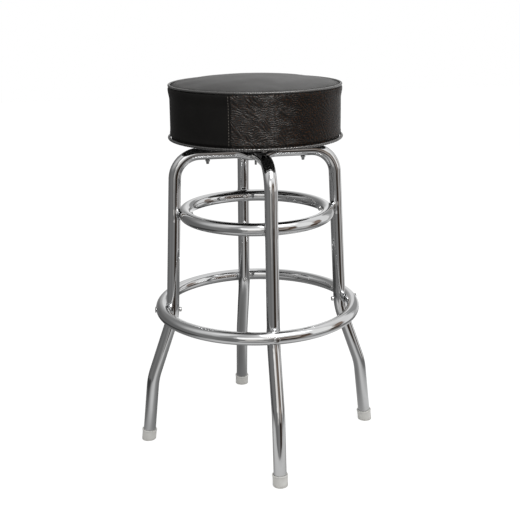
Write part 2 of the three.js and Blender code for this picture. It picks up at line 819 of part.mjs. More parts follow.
const boltHoleRadius = swivelBoltDiameter / 2 + seatGap;
const screwHoleRadius = seatScrewDiameter / 2 + seatGap;
piece(stool, "swivel_bottom_plate", swivelPlate(boltHoleRadius), "blackSteel").position.z = swivelBottom;
const topPlate = piece(stool, "swivel_top_plate", swivelPlate(screwHoleRadius), "blackSteel");
topPlate.rotation.x = Math.PI;
topPlate.position.z = swivelTop;
piece(stool, "swivel_ball_cage", ballCage(), "zinc").position.z = bearingHeight;
piece(stool, "swivel_rivet", swivelRivet(), "zinc").position.z = bearingHeight;
for (let i = 0; i < ballCount; i += 1) {
  const angle = (i / ballCount) * 2 * Math.PI;
  const ball = new THREE.SphereGeometry(ballDiameter / 2, ballWidthFacets, ballHeightFacets);
  const mesh = piece(stool, `swivel_ball_${i + 1}`, ball, "zinc");
  mesh.position.set(raceRadius * Math.cos(angle), raceRadius * Math.sin(angle), bearingHeight);
}

piece(stool, "seat_board", seatBoard(), "plywood");
piece(stool, "foam_pad", foamPad(), "foam");
piece(stool, "seat_top_panel", topPanel(), "vinyl");
piece(stool, "seat_band", coverBand(), "vinyl");
piece(stool, "top_welt", welt(topWeltCentre, topBead), "vinyl");
piece(stool, "bottom_welt", welt(bottomWeltCentre, bottomBead), "vinyl");
piece(stool, "dust_cover", dustCover(), "cloth");

export default stool;
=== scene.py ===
import math

import bmesh
import bpy
import numpy as np
from mathutils import Matrix, Vector


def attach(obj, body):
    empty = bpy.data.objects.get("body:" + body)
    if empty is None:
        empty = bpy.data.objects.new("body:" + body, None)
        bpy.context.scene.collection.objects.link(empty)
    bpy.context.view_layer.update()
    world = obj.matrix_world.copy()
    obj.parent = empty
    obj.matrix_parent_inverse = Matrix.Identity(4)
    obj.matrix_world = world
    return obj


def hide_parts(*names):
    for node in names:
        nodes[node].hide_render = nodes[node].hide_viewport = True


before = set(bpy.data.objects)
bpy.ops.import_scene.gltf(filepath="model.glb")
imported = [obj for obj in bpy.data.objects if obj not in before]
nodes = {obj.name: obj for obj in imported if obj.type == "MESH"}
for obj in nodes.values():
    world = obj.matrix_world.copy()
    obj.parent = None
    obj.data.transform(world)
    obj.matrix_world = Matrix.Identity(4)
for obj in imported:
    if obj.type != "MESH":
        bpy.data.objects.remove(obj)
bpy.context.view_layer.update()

scene = bpy.context.scene

# The camera stands 1.83 m from the swivel's axis and a little above the seat. It is turned past
# the front leg, and its shift brings the whole stool into the frame.
view_distance, view_height = 1.8308, 0.9407
view_turn, view_tilt, view_roll = math.radians(9.68), math.radians(-12.68), math.radians(-0.69)
away = Vector((math.sin(view_turn), math.cos(view_turn), 0))
level = Vector((math.cos(view_turn), -math.sin(view_turn), 0))
ahead = away * math.cos(view_tilt) + Vector((0, 0, math.sin(view_tilt)))
overhead = level.cross(ahead)
across = level * math.cos(view_roll) + overhead * math.sin(view_roll)
upward = overhead * math.cos(view_roll) - level * math.sin(view_roll)
camera = bpy.data.objects.new("camera", bpy.data.cameras.new("camera"))
camera.data.sensor_width = 36
camera.data.lens = 63.53
camera.data.shift_x = 0.0075
camera.data.shift_y = -0.1346
camera.matrix_world = Matrix((across, upward, -ahead)).transposed().to_4x4()
camera.location = -away * view_distance + Vector((0, 0, view_height))
scene.collection.objects.link(camera)
scene.camera = camera

# The studio: a white sweep behind the stool, a dim room to its left, a bright window in front
# with brown furnishings beside it, and pale screens on the right. Polished metal shows them all.


def add(tree, kind, inputs=None, **settings):
    node = tree.nodes.new(kind)
    for name, value in settings.items():
        setattr(node, name, value)
    for key, value in (inputs or {}).items():
        if isinstance(value, bpy.types.NodeSocket):
            tree.links.new(value, node.inputs[key])
        else:
            node.inputs[key].default_value = value
    return node


def ramp(tree, factor, stops):
    node = add(tree, "ShaderNodeValToRGB", {"Fac": factor})
    while len(node.color_ramp.elements) < len(stops):
        node.color_ramp.elements.new(0.5)
    for element, (place, value) in zip(node.color_ramp.elements, stops):
        element.position = place
        element.color = (*value, 1) if isinstance(value, tuple) else (value, value, value, 1)
    return node.outputs["Color"]


def spread(tree, value, low, high, to_low=0.0, to_high=1.0):
    inputs = {"Value": value, "From Min": low, "From Max": high, "To Min": to_low, "To Max": to_high}
    return add(tree, "ShaderNodeMapRange", inputs).outputs["Result"]


def calc(tree, operation, *values):
    return add(tree, "ShaderNodeMath", dict(enumerate(values)), operation=operation).outputs[0]


def vector_calc(tree, operation, *values):
    return add(tree, "ShaderNodeVectorMath", dict(enumerate(values)), operation=operation).outputs


def tint(tree, share, under, over):
    return add(tree, "ShaderNodeMix", {0: share, 6: under, 7: over}, data_type="RGBA").outputs[2]


def mix_shaders(tree, share, under, over):
    return add(tree, "ShaderNodeMixShader", {0: share, 1: under, 2: over}).outputs[0]


def axis_of(tree, where, letter):
    return add(tree, "ShaderNodeSeparateXYZ", {0: where}).outputs[letter]


scene.view_settings.view_transform = "Standard"
studio = bpy.data.worlds.new("studio")
studio.use_nodes = True
scene.world = studio
sky = studio.node_tree
sky.nodes.clear()
direction = add(sky, "ShaderNodeTexCoord").outputs["Generated"]
sideways = vector_calc(sky, "DOT_PRODUCT", direction, level)["Value"]
towards = vector_calc(sky, "DOT_PRODUCT", direction, -away)["Value"]
bearing = calc(sky, "ARCTAN2", sideways, towards)
elevation = calc(sky, "ARCSINE", axis_of(sky, direction, "Z"))
clutter = add(sky, "ShaderNodeTexNoise", {
    "Vector": direction, "Scale": 3.2, "Detail": 3.0, "Roughness": 0.6,
}).outputs["Color"]
clutter_sides = add(sky, "ShaderNodeSeparateColor", {0: clutter}).outputs


def in_degrees(angle, wander, most):
    turned = calc(sky, "MULTIPLY_ADD", angle, math.degrees(1), -most / 2)
    return calc(sky, "MULTIPLY_ADD", wander, most, turned)


bearing_deg = in_degrees(bearing, clutter_sides["Red"], 22.0)
elevation_deg = in_degrees(elevation, clutter_sides["Green"], 16.0)
bearing_share = spread(sky, bearing_deg, -180.0, 180.0)


def by_bearing(stops):
    return ramp(sky, bearing_share, [((degrees + 180) / 360, value) for degrees, value in stops])


def above(value, low, high):
    inputs = {"Value": value, "From Min": low, "From Max": high}
    return add(sky, "ShaderNodeMapRange", inputs, interpolation_type="SMOOTHSTEP").outputs["Result"]


def screen(under, bearings, elevations, soft, colour, share=1.0):
    for value, (low, high) in ((bearing_deg, bearings), (elevation_deg, elevations)):
        share = calc(sky, "MULTIPLY", above(value, low - soft, low + soft), share)
        share = calc(sky, "MULTIPLY", above(value, high + soft, high - soft), share)
    return tint(sky, share, under, (*colour, 1))


low_room = by_bearing([
    (-180, 0.98), (-170, 0.48), (-160, 0.27), (-140, 0.17), (-115, 0.18), (-95, 0.19), (-70, 0.24),
    (-50, 0.26), (-32, 0.21), (-14, 0.27), (2, 0.31), (14, 0.26), (17, (0.19, 0.16, 0.14)),
    (20, (0.032, 0.022, 0.017)), (30, (0.026, 0.017, 0.012)), (33, (0.07, 0.055, 0.045)),
    (36, (0.026, 0.017, 0.012)), (44, (0.045, 0.03, 0.023)), (51, (0.26, 0.23, 0.20)), (61, 0.50),
    (75, 0.70), (92, (0.56, 0.50, 0.46)), (105, 0.56), (123, 0.56), (138, 0.58), (158, 0.90), (180, 1.0),
])
high_room = by_bearing([
    (-180, 0.98), (-166, 0.55), (-152, 0.31), (-129, 0.31), (-105, 0.44), (-90, 0.74), (-70, 0.90),
    (-52, 0.86), (-34, 0.48), (-16, 0.70), (2, 1.0), (20, 1.1), (34, 1.1), (50, 1.5), (75, 1.2),
    (92, 0.90), (110, 1.0), (132, 1.15), (150, 0.90), (166, 0.92), (180, 1.0),
])
room = tint(sky, above(elevation_deg, 4.0, 36.0), low_room, high_room)
brown_part = above(clutter_sides["Blue"], 0.56, 0.46)
light_part = calc(sky, "MULTIPLY", above(clutter_sides["Blue"], 0.50, 0.56), 0.9)
for bearings, elevations, soft, colour, *part in (
    ((-76, -38), (48, 72), 6.0, (1.15, 1.15, 1.15)),
    ((6, 84), (48, 82), 4.0, (3.4, 3.4, 3.4)),
    ((-24, 8), (13, 35), 1.5, (1.75, 1.75, 1.75)),
    ((5, 21), (8, 35), 3.0, (1.3, 1.28, 1.25)),
    ((-20, 0), (3, 14), 1.8, (1.5, 1.48, 1.45)),
    ((-12, 8), (-3, 14), 1.8, (1.1, 1.08, 1.05)),
    ((-11, -1), (-11, -3), 1.8, (0.85, 0.82, 0.78)),
    ((62, 91), (-2, 46), 2.0, (1.2, 1.2, 1.19)),
    ((95, 108), (-2, 20), 1.8, (0.32, 0.24, 0.20)),
    ((84, 104), (-26, -4), 1.8, (0.10, 0.07, 0.055)),
    ((108, 128), (-16, 50), 2.0, (1.05, 1.05, 1.05)),
    ((136, 166), (2, 30), 2.5, (0.40, 0.40, 0.40)),
    ((16, 49), (-9, 24), 3.0, (0.42, 0.39, 0.37)),
    ((25, 50), (-1, 22), 1.8, (0.24, 0.19, 0.155), brown_part),
    ((22, 48), (2, 27), 2.0, (0.66, 0.57, 0.50), light_part),
    ((47, 60), (-10, 18), 1.8, (0.14, 0.095, 0.07)),
):
    room = screen(room, bearings, elevations, soft, colour, *part)
floor_seen = by_bearing([
    (-180, 0.45), (-140, 0.25), (-115, 0.14), (-95, 0.10), (-63, 0.12), (-40, 0.18), (-20, 0.26),
    (10, 0.34), (60, 0.38), (95, 0.44), (140, 0.40), (180, 0.50),
])
room = tint(sky, above(elevation_deg, -27.0, -36.0), room, floor_seen)
room = screen(room, (-21, 12), (-32, -21), 2.0, (0.72, 0.71, 0.70))
rays = add(sky, "ShaderNodeLightPath").outputs
even, seen_in_gloss, white = (
    add(sky, "ShaderNodeBackground", {"Color": colour}).outputs[0]
    for colour in ((0.60, 0.60, 0.60, 1), room, (1, 1, 1, 1))
)
gloss_or_even = mix_shaders(sky, rays["Is Glossy Ray"], even, seen_in_gloss)
clear = calc(sky, "MAXIMUM", rays["Is Camera Ray"], rays["Is Transmission Ray"])
add(sky, "ShaderNodeOutputWorld", {"Surface": mix_shaders(sky, clear, gloss_or_even, white)})


def soft_box(name, bearing_deg, elevation_deg, distance, side, power):
    turn, lift = math.radians(bearing_deg), math.radians(elevation_deg)
    out = (-away * math.cos(turn) + level * math.sin(turn)) * math.cos(lift)
    back = out + Vector((0, 0, math.sin(lift)))
    light = bpy.data.lights.new(name, "AREA")
    light.shape = "SQUARE"
    light.size = side
    light.energy = power
    lamp = bpy.data.objects.new(name, light)
    lamp.location = Vector((0, 0, 0.5)) + back * distance
    lamp.rotation_euler = back.to_track_quat("Z", "Y").to_euler()
    scene.collection.objects.link(lamp)
    return lamp


soft_box("key_box", 24, 50, 2.4, 0.6, 20)
soft_box("side_box", 88, 22, 2.6, 1.2, 9).visible_glossy = False

# The floor is a pale sweep. To the camera it is white, and it keeps the stool's soft shadow. The metal
# shows it glowing with painted light: a painted shadow under the seat and a painted pool of light round the
# feet, as far as its front edge.


def new_finish(name, uv_map=None):
    finish = bpy.data.materials.new(name)
    finish.use_nodes = True
    tree = finish.node_tree
    tree.nodes.clear()
    if uv_map:
        return finish, tree, add(tree, "ShaderNodeUVMap", uv_map=uv_map).outputs["UV"]
    return finish, tree, add(tree, "ShaderNodeTexCoord").outputs["Object"]


floor_half = 6.0
floor_mesh = bpy.data.meshes.new("floor")
floor_mesh.from_pydata(
    [(x * floor_half, y * floor_half, 0) for x, y in ((-1, -1), (1, -1), (1, 1), (-1, 1))],
    [], [(0, 1, 2, 3)],
)
floor = bpy.data.objects.new("floor", floor_mesh)
scene.collection.objects.link(floor)
sweep, tree, spot = new_finish("pale_sweep")
rays = add(tree, "ShaderNodeLightPath").outputs
paper, plain = (
    add(tree, "ShaderNodeBsdfDiffuse", {"Color": colour}).outputs[0]
    for colour in ((0.30, 0.30, 0.30, 1), (0.72, 0.72, 0.71, 1))
)
glow = add(tree, "ShaderNodeEmission", {"Color": (1, 1, 1, 1), "Strength": 0.84}).outputs[0]
lit = add(tree, "ShaderNodeAddShader", {0: paper, 1: glow}).outputs[0]
both = mix_shaders(tree, rays["Is Camera Ray"], plain, lit)
reach = vector_calc(tree, "LENGTH", spot)["Value"]
lit_side = vector_calc(tree, "DOT_PRODUCT", spot, (level - away) * 0.7)["Value"]
forward = vector_calc(tree, "DOT_PRODUCT", spot, -away)["Value"]
# Painted shadow under the seat and painted pool of light round the feet, set by distance from the axis
painted_pool_and_shadow = ramp(tree, spread(tree, reach, 0.0, 1.2), [
    (0.0, 0.26), (0.10, 0.32), (0.17, 0.46), (0.225, 0.76), (0.30, 0.82), (0.40, 0.64), (0.47, 0.40),
    (0.52, 0.25), (0.70, 0.20),
])
# Emission seen only in reflections: the painted light, dimmed to the left and back as a painted shadow
painted_floor_glow = add(tree, "ShaderNodeEmission", {
    "Color": painted_pool_and_shadow, "Strength": spread(tree, lit_side, -0.24, 0.0, 0.28, 1.0),
}).outputs[0]
past = add(tree, "ShaderNodeBsdfTransparent").outputs[0]
edge = calc(tree, "MAXIMUM", spread(tree, forward, 0.41, 0.44), spread(tree, reach, 0.80, 1.05))
whole = mix_shaders(tree, rays["Is Glossy Ray"], both, mix_shaders(tree, edge, painted_floor_glow, past))
add(tree, "ShaderNodeOutputMaterial", {"Surface": whole})
floor_mesh.materials.append(sweep)

# Two frames of 25.4 mm chromed steel tube, each bent cold from one length for a pair of opposite
# legs. The legs are pressed in where the rings seat, and the tubes are flattened where they cross.
tube_radius, seat_gap = 0.0127, 0.0003
arm_height = 0.6092
foot_circle = 0.2373
foot_ring_at = np.array([foot_circle * 0.8403, arm_height * 0.4682])
upper_ring_at = np.array([foot_circle * 0.6185, arm_height * 0.7953])
saddle_depth = 0.0038
ring_standoff = 2 * tube_radius - saddle_depth + seat_gap
knee_bend, top_bend = 0.150, 0.0508
crossing_thickness, crossing_flat, crossing_blend = 0.015, 0.016, 0.036
cap_sole_depth, knee_below_ring = 0.0040, 0.0183
line_step, fine_step, coarse_step, tube_facets = 0.0015, 0.0014, 0.005, 48
saddle_reach, saddle_soft, saddle_bulge, crossing_squareness = 0.042, 0.0012, 0.05, 0.35
ring_step = upper_ring_at - foot_ring_at
rings_apart, rings_tilt = np.linalg.norm(ring_step), math.atan2(ring_step[1], -ring_step[0])
leg_lean = math.acos(2 * ring_standoff / rings_apart) - rings_tilt
leg_out = np.array([math.cos(leg_lean), math.sin(leg_lean)])
leg_up = np.array([-leg_out[1], leg_out[0]])


def on_leg_line(height):
    seat = upper_ring_at + leg_out * ring_standoff
    return seat + leg_up * (height - seat[1]) / leg_up[1]


foot_point = np.array([foot_circle, 0.0])
lower_knee = np.array([foot_circle * 0.9413, arm_height * 0.2229])
foot_up = (lower_knee - foot_point) / np.linalg.norm(lower_knee - foot_point)
arm_corner = on_leg_line(arm_height)


def bent_line(corners, radii, spacing):
    points, start = [], corners[0]
    for i, radius in enumerate(radii):
        back = corners[i] - corners[i + 1]
        forth = corners[i + 2] - corners[i + 1]
        back, forth = back / np.linalg.norm(back), forth / np.linalg.norm(forth)
        half = math.acos(np.clip(back @ forth, -1, 1)) / 2
        reach = radius / math.tan(half)
        enter, leave = corners[i + 1] + back * reach, corners[i + 1] + forth * reach
        middle = back + forth
        centre = corners[i + 1] + middle / np.linalg.norm(middle) * radius / math.sin(half)
        count = max(2, int(np.linalg.norm(enter - start) / spacing))
        points += [start + (enter - start) * k / count for k in range(count)]
        a0 = math.atan2(*(enter - centre)[::-1])
        turn = math.atan2(*(leave - centre)[::-1]) - a0
        turn = (turn + math.pi) % (2 * math.pi) - math.pi
        count = max(2, int(abs(turn) * radius / spacing))
        points += [
            centre + radius * np.array([math.cos(a0 + turn * k / count), math.sin(a0 + turn * k / count)])
            for k in range(count)
        ]
        start = leave
    count = int(np.linalg.norm(corners[-1] - start) / spacing)
    points += [start + (corners[-1] - start) * k / count for k in range(count + 1)]
    return np.array(points)


def circle(facets):
    return np.linspace(0, 2 * math.pi, facets, endpoint=False)


def step_between(t):
    t = np.clip(t, 0, 1)
    return t * t * (3 - 2 * t)


def mesh_of(name, points, faces, finish):
    mesh = bpy.data.meshes.new(name)
    mesh.from_pydata(np.asarray(points).reshape(-1, 3).tolist(), [], [list(f) for f in faces])
    mesh.shade_smooth()
    mesh.materials.append(finish)
    piece = bpy.data.objects.new(name, mesh)
    scene.collection.objects.link(piece)
    return piece


def grid_faces(rows, sides, loop_rows=False):
    i = np.arange(rows if loop_rows else rows - 1)[:, None]
    j = np.arange(sides)[None, :]
    ahead_row, ahead_side = (i + 1) % rows * sides, (j + 1) % sides
    corners = (i * sides + j, i * sides + ahead_side, ahead_row + ahead_side, ahead_row + j)
    return np.stack(corners, axis=-1).reshape(-1, 4).tolist()


def face_out(piece):
    body = bmesh.new()
    body.from_mesh(piece.data)
    bmesh.ops.recalc_face_normals(body, faces=body.faces)
    body.to_mesh(piece.data)
    body.free()


def principled(tree, values):
    surface = add(tree, "ShaderNodeBsdfPrincipled", values)
    add(tree, "ShaderNodeOutputMaterial", {"Surface": surface.outputs[0]})


def noise(tree, where, scale, detail=2.0, roughness=0.5, distortion=0.0):
    return add(tree, "ShaderNodeTexNoise", {
        "Vector": where, "Scale": scale, "Detail": detail, "Roughness": roughness, "Distortion": distortion,
    }).outputs["Fac"]


def bumped(tree, height, strength, distance, over=None):
    inputs = {"Height": height, "Strength": strength, "Distance": distance}
    if over is not None:
        inputs["Normal"] = over
    return add(tree, "ShaderNodeBump", inputs).outputs["Normal"]


# Bright chrome plate: faint smears that dull it here and there, and the slow waves of polished
# tube, which die away on the straight arms under the seat
chrome, tree, place = new_finish("bright_chrome")
smears = noise(tree, place, 16, 4, 0.6, 0.6)
waves = noise(tree, place, 42, 1, 0.4)
height = axis_of(tree, place, "Z")
specks = noise(tree, place, 1600, 2, 0.6)
dulled, pitted = spread(tree, smears, 0.35, 0.75, 0.018, 0.050), spread(tree, specks, 0.55, 0.75, 0.0, 0.04)
tone = ramp(tree, smears, [(0.3, (0.60, 0.605, 0.61)), (0.7, (0.56, 0.56, 0.56))])
principled(tree, {
    "Base Color": tone,
    "Metallic": 1.0,
    "Roughness": calc(tree, "ADD", dulled, pitted),
    "Normal": bumped(tree, waves, spread(tree, height, 0.575, 0.590, 0.12, 0.015), 0.0012),
})


def leg_frame(name, drop, turned):
    end = foot_point + foot_up * (cap_sole_depth + seat_gap)
    right = [arm_corner, on_leg_line(foot_ring_at[1] - knee_below_ring), lower_knee, end]
    corners = [np.array([-c[0], c[1]]) for c in reversed(right)] + right
    bends = [knee_bend, knee_bend, top_bend]
    line = bent_line(corners, bends + bends[::-1], line_step)
    run = np.concatenate([[0], np.cumsum(np.linalg.norm(np.diff(line, axis=0), axis=1))])
    middle = run[-1] / 2
    rings = [(foot_ring_at, 1), (upper_ring_at, -1)]
    seats = [(np.array([side_x * at[0], at[1]]), side) for at, side in rings for side_x in (-1, 1)]
    keep, last = [], -1.0
    for k, at in enumerate(line):
        near = min(np.linalg.norm(at - centre) for centre, _ in seats)
        detailed = near < saddle_reach or abs(run[k] - middle) < crossing_flat / 2 + crossing_blend
        if run[k] - last >= (fine_step if detailed else coarse_step) or k == len(line) - 1:
            keep.append(k)
            last = run[k]
    tangents = np.gradient(line, axis=0)
    tangents /= np.linalg.norm(tangents, axis=1)[:, None]
    turns = circle(tube_facets)
    unit_in, unit_side = np.cos(turns), np.sin(turns)
    sections = []
    for k in keep:
        at, tangent = line[k], tangents[k]
        outward = np.array([-tangent[1], tangent[0]])
        press = 1 - step_between((abs(run[k] - middle) - crossing_flat / 2) / crossing_blend)
        tall = tube_radius + (crossing_thickness / 2 - tube_radius) * press
        pressed_half = (crossing_thickness + math.pi * (tube_radius - crossing_thickness / 2)) / 2
        wide = tube_radius + (pressed_half - tube_radius) * press
        square = 1 - crossing_squareness * press
        reach_in = np.sign(unit_in) * np.abs(unit_in) ** square * tall
        reach_side = unit_side * wide
        for centre, side in seats:
            to_ring = centre - at
            offset = abs(to_ring @ tangent)
            seat_radius = tube_radius + seat_gap
            if offset < seat_radius and np.linalg.norm(to_ring) < 4 * tube_radius:
                limit = side * (to_ring @ outward) - math.sqrt(seat_radius ** 2 - offset ** 2)
                gap = side * reach_in
                blend = np.clip(0.5 + 0.5 * (limit - gap) / saddle_soft, 0, 1)
                reach_in = side * (limit + (gap - limit) * blend - saddle_soft * blend * (1 - blend))
                reach_side = reach_side * (1 + saddle_bulge * (1 - (offset / seat_radius) ** 2))
        flat = at[None, :] + outward[None, :] * (reach_in - drop * press)[:, None]
        sections.append(np.stack([flat[:, 0], -reach_side, flat[:, 1]], axis=1))
    points = np.array(sections)
    if turned:
        points = np.stack([-points[..., 1], points[..., 0], points[..., 2]], axis=-1)
    rows, sides = points.shape[:2]
    faces = grid_faces(rows, sides)
    faces.append(list(range(sides))[::-1])
    faces.append(list(range((rows - 1) * sides, rows * sides)))
    return mesh_of(name, points, faces, chrome)


upper_drop = crossing_thickness / 2 - tube_radius
for name, drop, turned in (
    ("leg_frame_left_right", upper_drop + crossing_thickness + seat_gap, False),
    ("leg_frame_front_back", upper_drop, True),
):
    piece = leg_frame(name + "_tube", drop, turned)
    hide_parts(name)
    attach(piece, "base")

# The brace ring inside the legs and the foot ring outside them, of the same chromed tube, each
# rolled and welded into a circle
sides_of_world = ("right", "back", "left", "front")


def new_tree(name, sockets):
    tree = bpy.data.node_groups.new(name, "GeometryNodeTree")
    for label, kind, value in sockets:
        socket = tree.interface.new_socket(label, in_out="INPUT", socket_type="NodeSocket" + kind)
        if value is not None:
            socket.default_value = value
    tree.interface.new_socket("Geometry", in_out="OUTPUT", socket_type="NodeSocketGeometry")
    return tree, tree.nodes.new("NodeGroupInput").outputs


def end_tree(tree, shapes, given):
    real = add(tree, "GeometryNodeRealizeInstances", {"Geometry": shapes.outputs[0]})
    coated = add(tree, "GeometryNodeSetMaterial", {
        "Geometry": real.outputs[0], "Material": given["Finish"],
    })
    add(tree, "NodeGroupOutput", {0: coated.outputs[0]})


def apply_modifiers(piece):
    depsgraph = bpy.context.evaluated_depsgraph_get()
    result = bpy.data.meshes.new_from_object(piece.evaluated_get(depsgraph))
    piece.modifiers.clear()
    piece.data = result


def made_by(tree, name, values):
    piece = bpy.data.objects.new(name, bpy.data.meshes.new(name))
    scene.collection.objects.link(piece)
    build = piece.modifiers.new("build", "NODES")
    build.node_group = tree
    for item in tree.interface.items_tree:
        if item.in_out == "INPUT" and item.name in values:
            build[item.identifier] = values[item.name]
    apply_modifiers(piece)
    return piece


ring_tree, given = new_tree("tube_ring", [
    ("Ring Radius", "Float", 0.2), ("Tube Radius", "Float", 0.0127), ("Height", "Float", 0.0),
    ("Facets", "Int", 192), ("Tube Facets", "Int", 32), ("Crimp Depth", "Float", 0.0),
    ("Crimp Count", "Float", 200.0), ("Seed", "Float", 1.0), ("Finish", "Material", None),
])
path, profile = (
    add(ring_tree, "GeometryNodeCurvePrimitiveCircle", {
        "Resolution": given[facets], "Radius": given[radius],
    }).outputs["Curve"]
    for facets, radius in (("Facets", "Ring Radius"), ("Tube Facets", "Tube Radius"))
)
swept = add(ring_tree, "GeometryNodeCurveToMesh", {"Curve": path, "Profile Curve": profile})
lift = add(ring_tree, "ShaderNodeCombineXYZ", {"Z": given["Height"]})
raised = add(ring_tree, "GeometryNodeTransform", {
    "Geometry": swept.outputs["Mesh"], "Translation": lift.outputs[0],
})
crimp_patch, crimp_wander = 55.0, 22.0
spot = add(ring_tree, "GeometryNodeInputPosition").outputs[0]
lumps = add(ring_tree, "ShaderNodeTexNoise", {
    "Vector": spot, "W": given["Seed"], "Scale": crimp_patch, "Detail": 2.0,
}, noise_dimensions="4D").outputs["Fac"]
round_angle = calc(ring_tree, "ARCTAN2", axis_of(ring_tree, spot, "Y"), axis_of(ring_tree, spot, "X"))
phase = calc(ring_tree, "MULTIPLY", round_angle, given["Crimp Count"])
pucker = calc(ring_tree, "SINE", calc(ring_tree, "MULTIPLY_ADD", lumps, crimp_wander, phase))
amount = calc(ring_tree, "MULTIPLY", pucker, given["Crimp Depth"])
normal = add(ring_tree, "GeometryNodeInputNormal").outputs[0]
offset = add(ring_tree, "ShaderNodeVectorMath", {0: normal, "Scale": amount}, operation="SCALE")
crimped = add(ring_tree, "GeometryNodeSetPosition", {
    "Geometry": raised.outputs[0], "Offset": offset.outputs[0],
})
smooth = add(ring_tree, "GeometryNodeSetShadeSmooth", {"Geometry": crimped.outputs[0]})
end_tree(ring_tree, smooth, given)

for name, at in (("foot_ring", foot_ring_at), ("upper_ring", upper_ring_at)):
    piece = made_by(ring_tree, name + "_tube", {
        "Ring Radius": float(at[0]), "Tube Radius": tube_radius, "Height": float(at[1]),
        "Facets": 240, "Tube Facets": 40, "Finish": chrome,
    })
    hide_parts(name)
    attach(piece, "base")

# Foot caps of pale plastic, pushed over the tube ends. A bead strengthens each rim, and the sole
# stands flat on the floor although the leg leans.


def spun(radii, turns, heights):
    x, y = radii * np.cos(turns), radii * np.sin(turns)
    return np.stack(np.broadcast_arrays(x, y, heights), axis=-1)


def lathe(profile, facets):
    profile = np.array(profile)
    rings = spun(profile[:, :1], circle(facets), profile[:, 1:])
    body = bmesh.new()
    made = [body.verts.new(at) for at in rings.reshape(-1, 3)]
    for face in grid_faces(len(profile), facets):
        body.faces.new([made[i] for i in face])
    bmesh.ops.remove_doubles(body, verts=body.verts, dist=1e-6)
    bmesh.ops.recalc_face_normals(body, faces=body.faces)
    return body


def rounded(corners, radius, steps=4):
    out = [corners[0]]
    for before, at, after in zip(corners, corners[1:], corners[2:]):
        before, at, after = (np.array(p, float) for p in (before, at, after))
        room = min(radius, np.linalg.norm(before - at) / 2, np.linalg.norm(after - at) / 2)
        first = at + (before - at) / max(np.linalg.norm(before - at), 1e-9) * room
        last = at + (after - at) / max(np.linalg.norm(after - at), 1e-9) * room
        for k in range(steps + 1):
            t = k / steps
            out.append(tuple((1 - t) ** 2 * first + 2 * t * (1 - t) * at + t * t * last))
    return out + [corners[-1]]


def pattern(name, bodies, matrix, finish, sharp_deg=40):
    mesh = bpy.data.meshes.new(name)
    whole = bmesh.new()
    for body in bodies:
        part = bpy.data.meshes.new(name + "_part")
        body.to_mesh(part)
        body.free()
        whole.from_mesh(part)
        bpy.data.meshes.remove(part)
    whole.to_mesh(mesh)
    whole.free()
    mesh.transform(matrix)
    mesh.shade_smooth()
    mesh.set_sharp_from_angle(angle=math.radians(sharp_deg))
    mesh.materials.append(finish)
    return bpy.data.objects.new(name, mesh)


around_tree, given = new_tree("around_the_axis", [
    ("Piece", "Object", None), ("Count", "Int", 4), ("Start", "Float", 0.0),
    ("Jitter", "Float", 0.0), ("Seed", "Int", 1), ("Finish", "Material", None),
])
dots = add(around_tree, "GeometryNodePoints", {"Count": given["Count"]})
index = add(around_tree, "GeometryNodeInputIndex").outputs[0]
pitch = calc(around_tree, "DIVIDE", 2 * math.pi, given["Count"])
angle = calc(around_tree, "MULTIPLY_ADD", index, pitch, given["Start"])
low = calc(around_tree, "MULTIPLY", given["Jitter"], -1.0)
wander = add(around_tree, "FunctionNodeRandomValue", {
    2: low, 3: given["Jitter"], "Seed": given["Seed"],
}, data_type="FLOAT")
spin = add(around_tree, "ShaderNodeCombineXYZ", {"Z": calc(around_tree, "ADD", angle, wander.outputs[1])})
turned = add(around_tree, "FunctionNodeEulerToRotation", {0: spin.outputs[0]})
shape = add(around_tree, "GeometryNodeObjectInfo", {"Object": given["Piece"]}).outputs["Geometry"]
copies = add(
    around_tree, "GeometryNodeInstanceOnPoints",
    {"Points": dots.outputs[0], "Instance": shape, "Rotation": turned.outputs[0]},
)
end_tree(around_tree, copies, given)


def set_round(name, shape, finish, count=4, start=0.0, jitter=0.0, seed=1):
    piece = made_by(around_tree, name, {
        "Piece": shape, "Count": count, "Start": start, "Jitter": jitter, "Seed": seed, "Finish": finish,
    })
    bpy.data.objects.remove(shape)
    return piece


def four_of(name, bodies, matrix, finish, body_name):
    piece = set_round(name + "s", pattern(name, bodies, matrix, finish), finish)
    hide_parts(*[f"{name}_{side}" for side in sides_of_world])
    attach(piece, body_name)


# Stands a shape's +Z along a direction in the right leg's plane
def along(flat, direction):
    aim = Vector((direction[0], 0, direction[1]))
    turn = Vector((0, 0, 1)).rotation_difference(aim).to_matrix().to_4x4()
    return Matrix.Translation((flat[0], 0, flat[1])) @ turn


cap_plastic, tree, place = new_finish("pale_cap_plastic")
height = axis_of(tree, place, "Z")
mottle = noise(tree, place, 60, 3, 0.6)
scuff = noise(tree, place, 240, 4, 0.7)
grime = calc(tree, "MULTIPLY", spread(tree, height, 0.0, 0.007, 0.55, 0.0), spread(tree, scuff, 0.4, 0.65))
pale = ramp(tree, mottle, [(0.3, (0.62, 0.61, 0.585)), (0.7, (0.69, 0.685, 0.66))])
tone = tint(tree, grime, pale, (0.22, 0.20, 0.17, 1))
principled(tree, {
    "Base Color": tone,
    "Roughness": spread(tree, scuff, 0.3, 0.7, 0.38, 0.58),
    "Specular IOR Level": 0.45,
    "Normal": bumped(tree, scuff, 0.12, 0.0004),
})

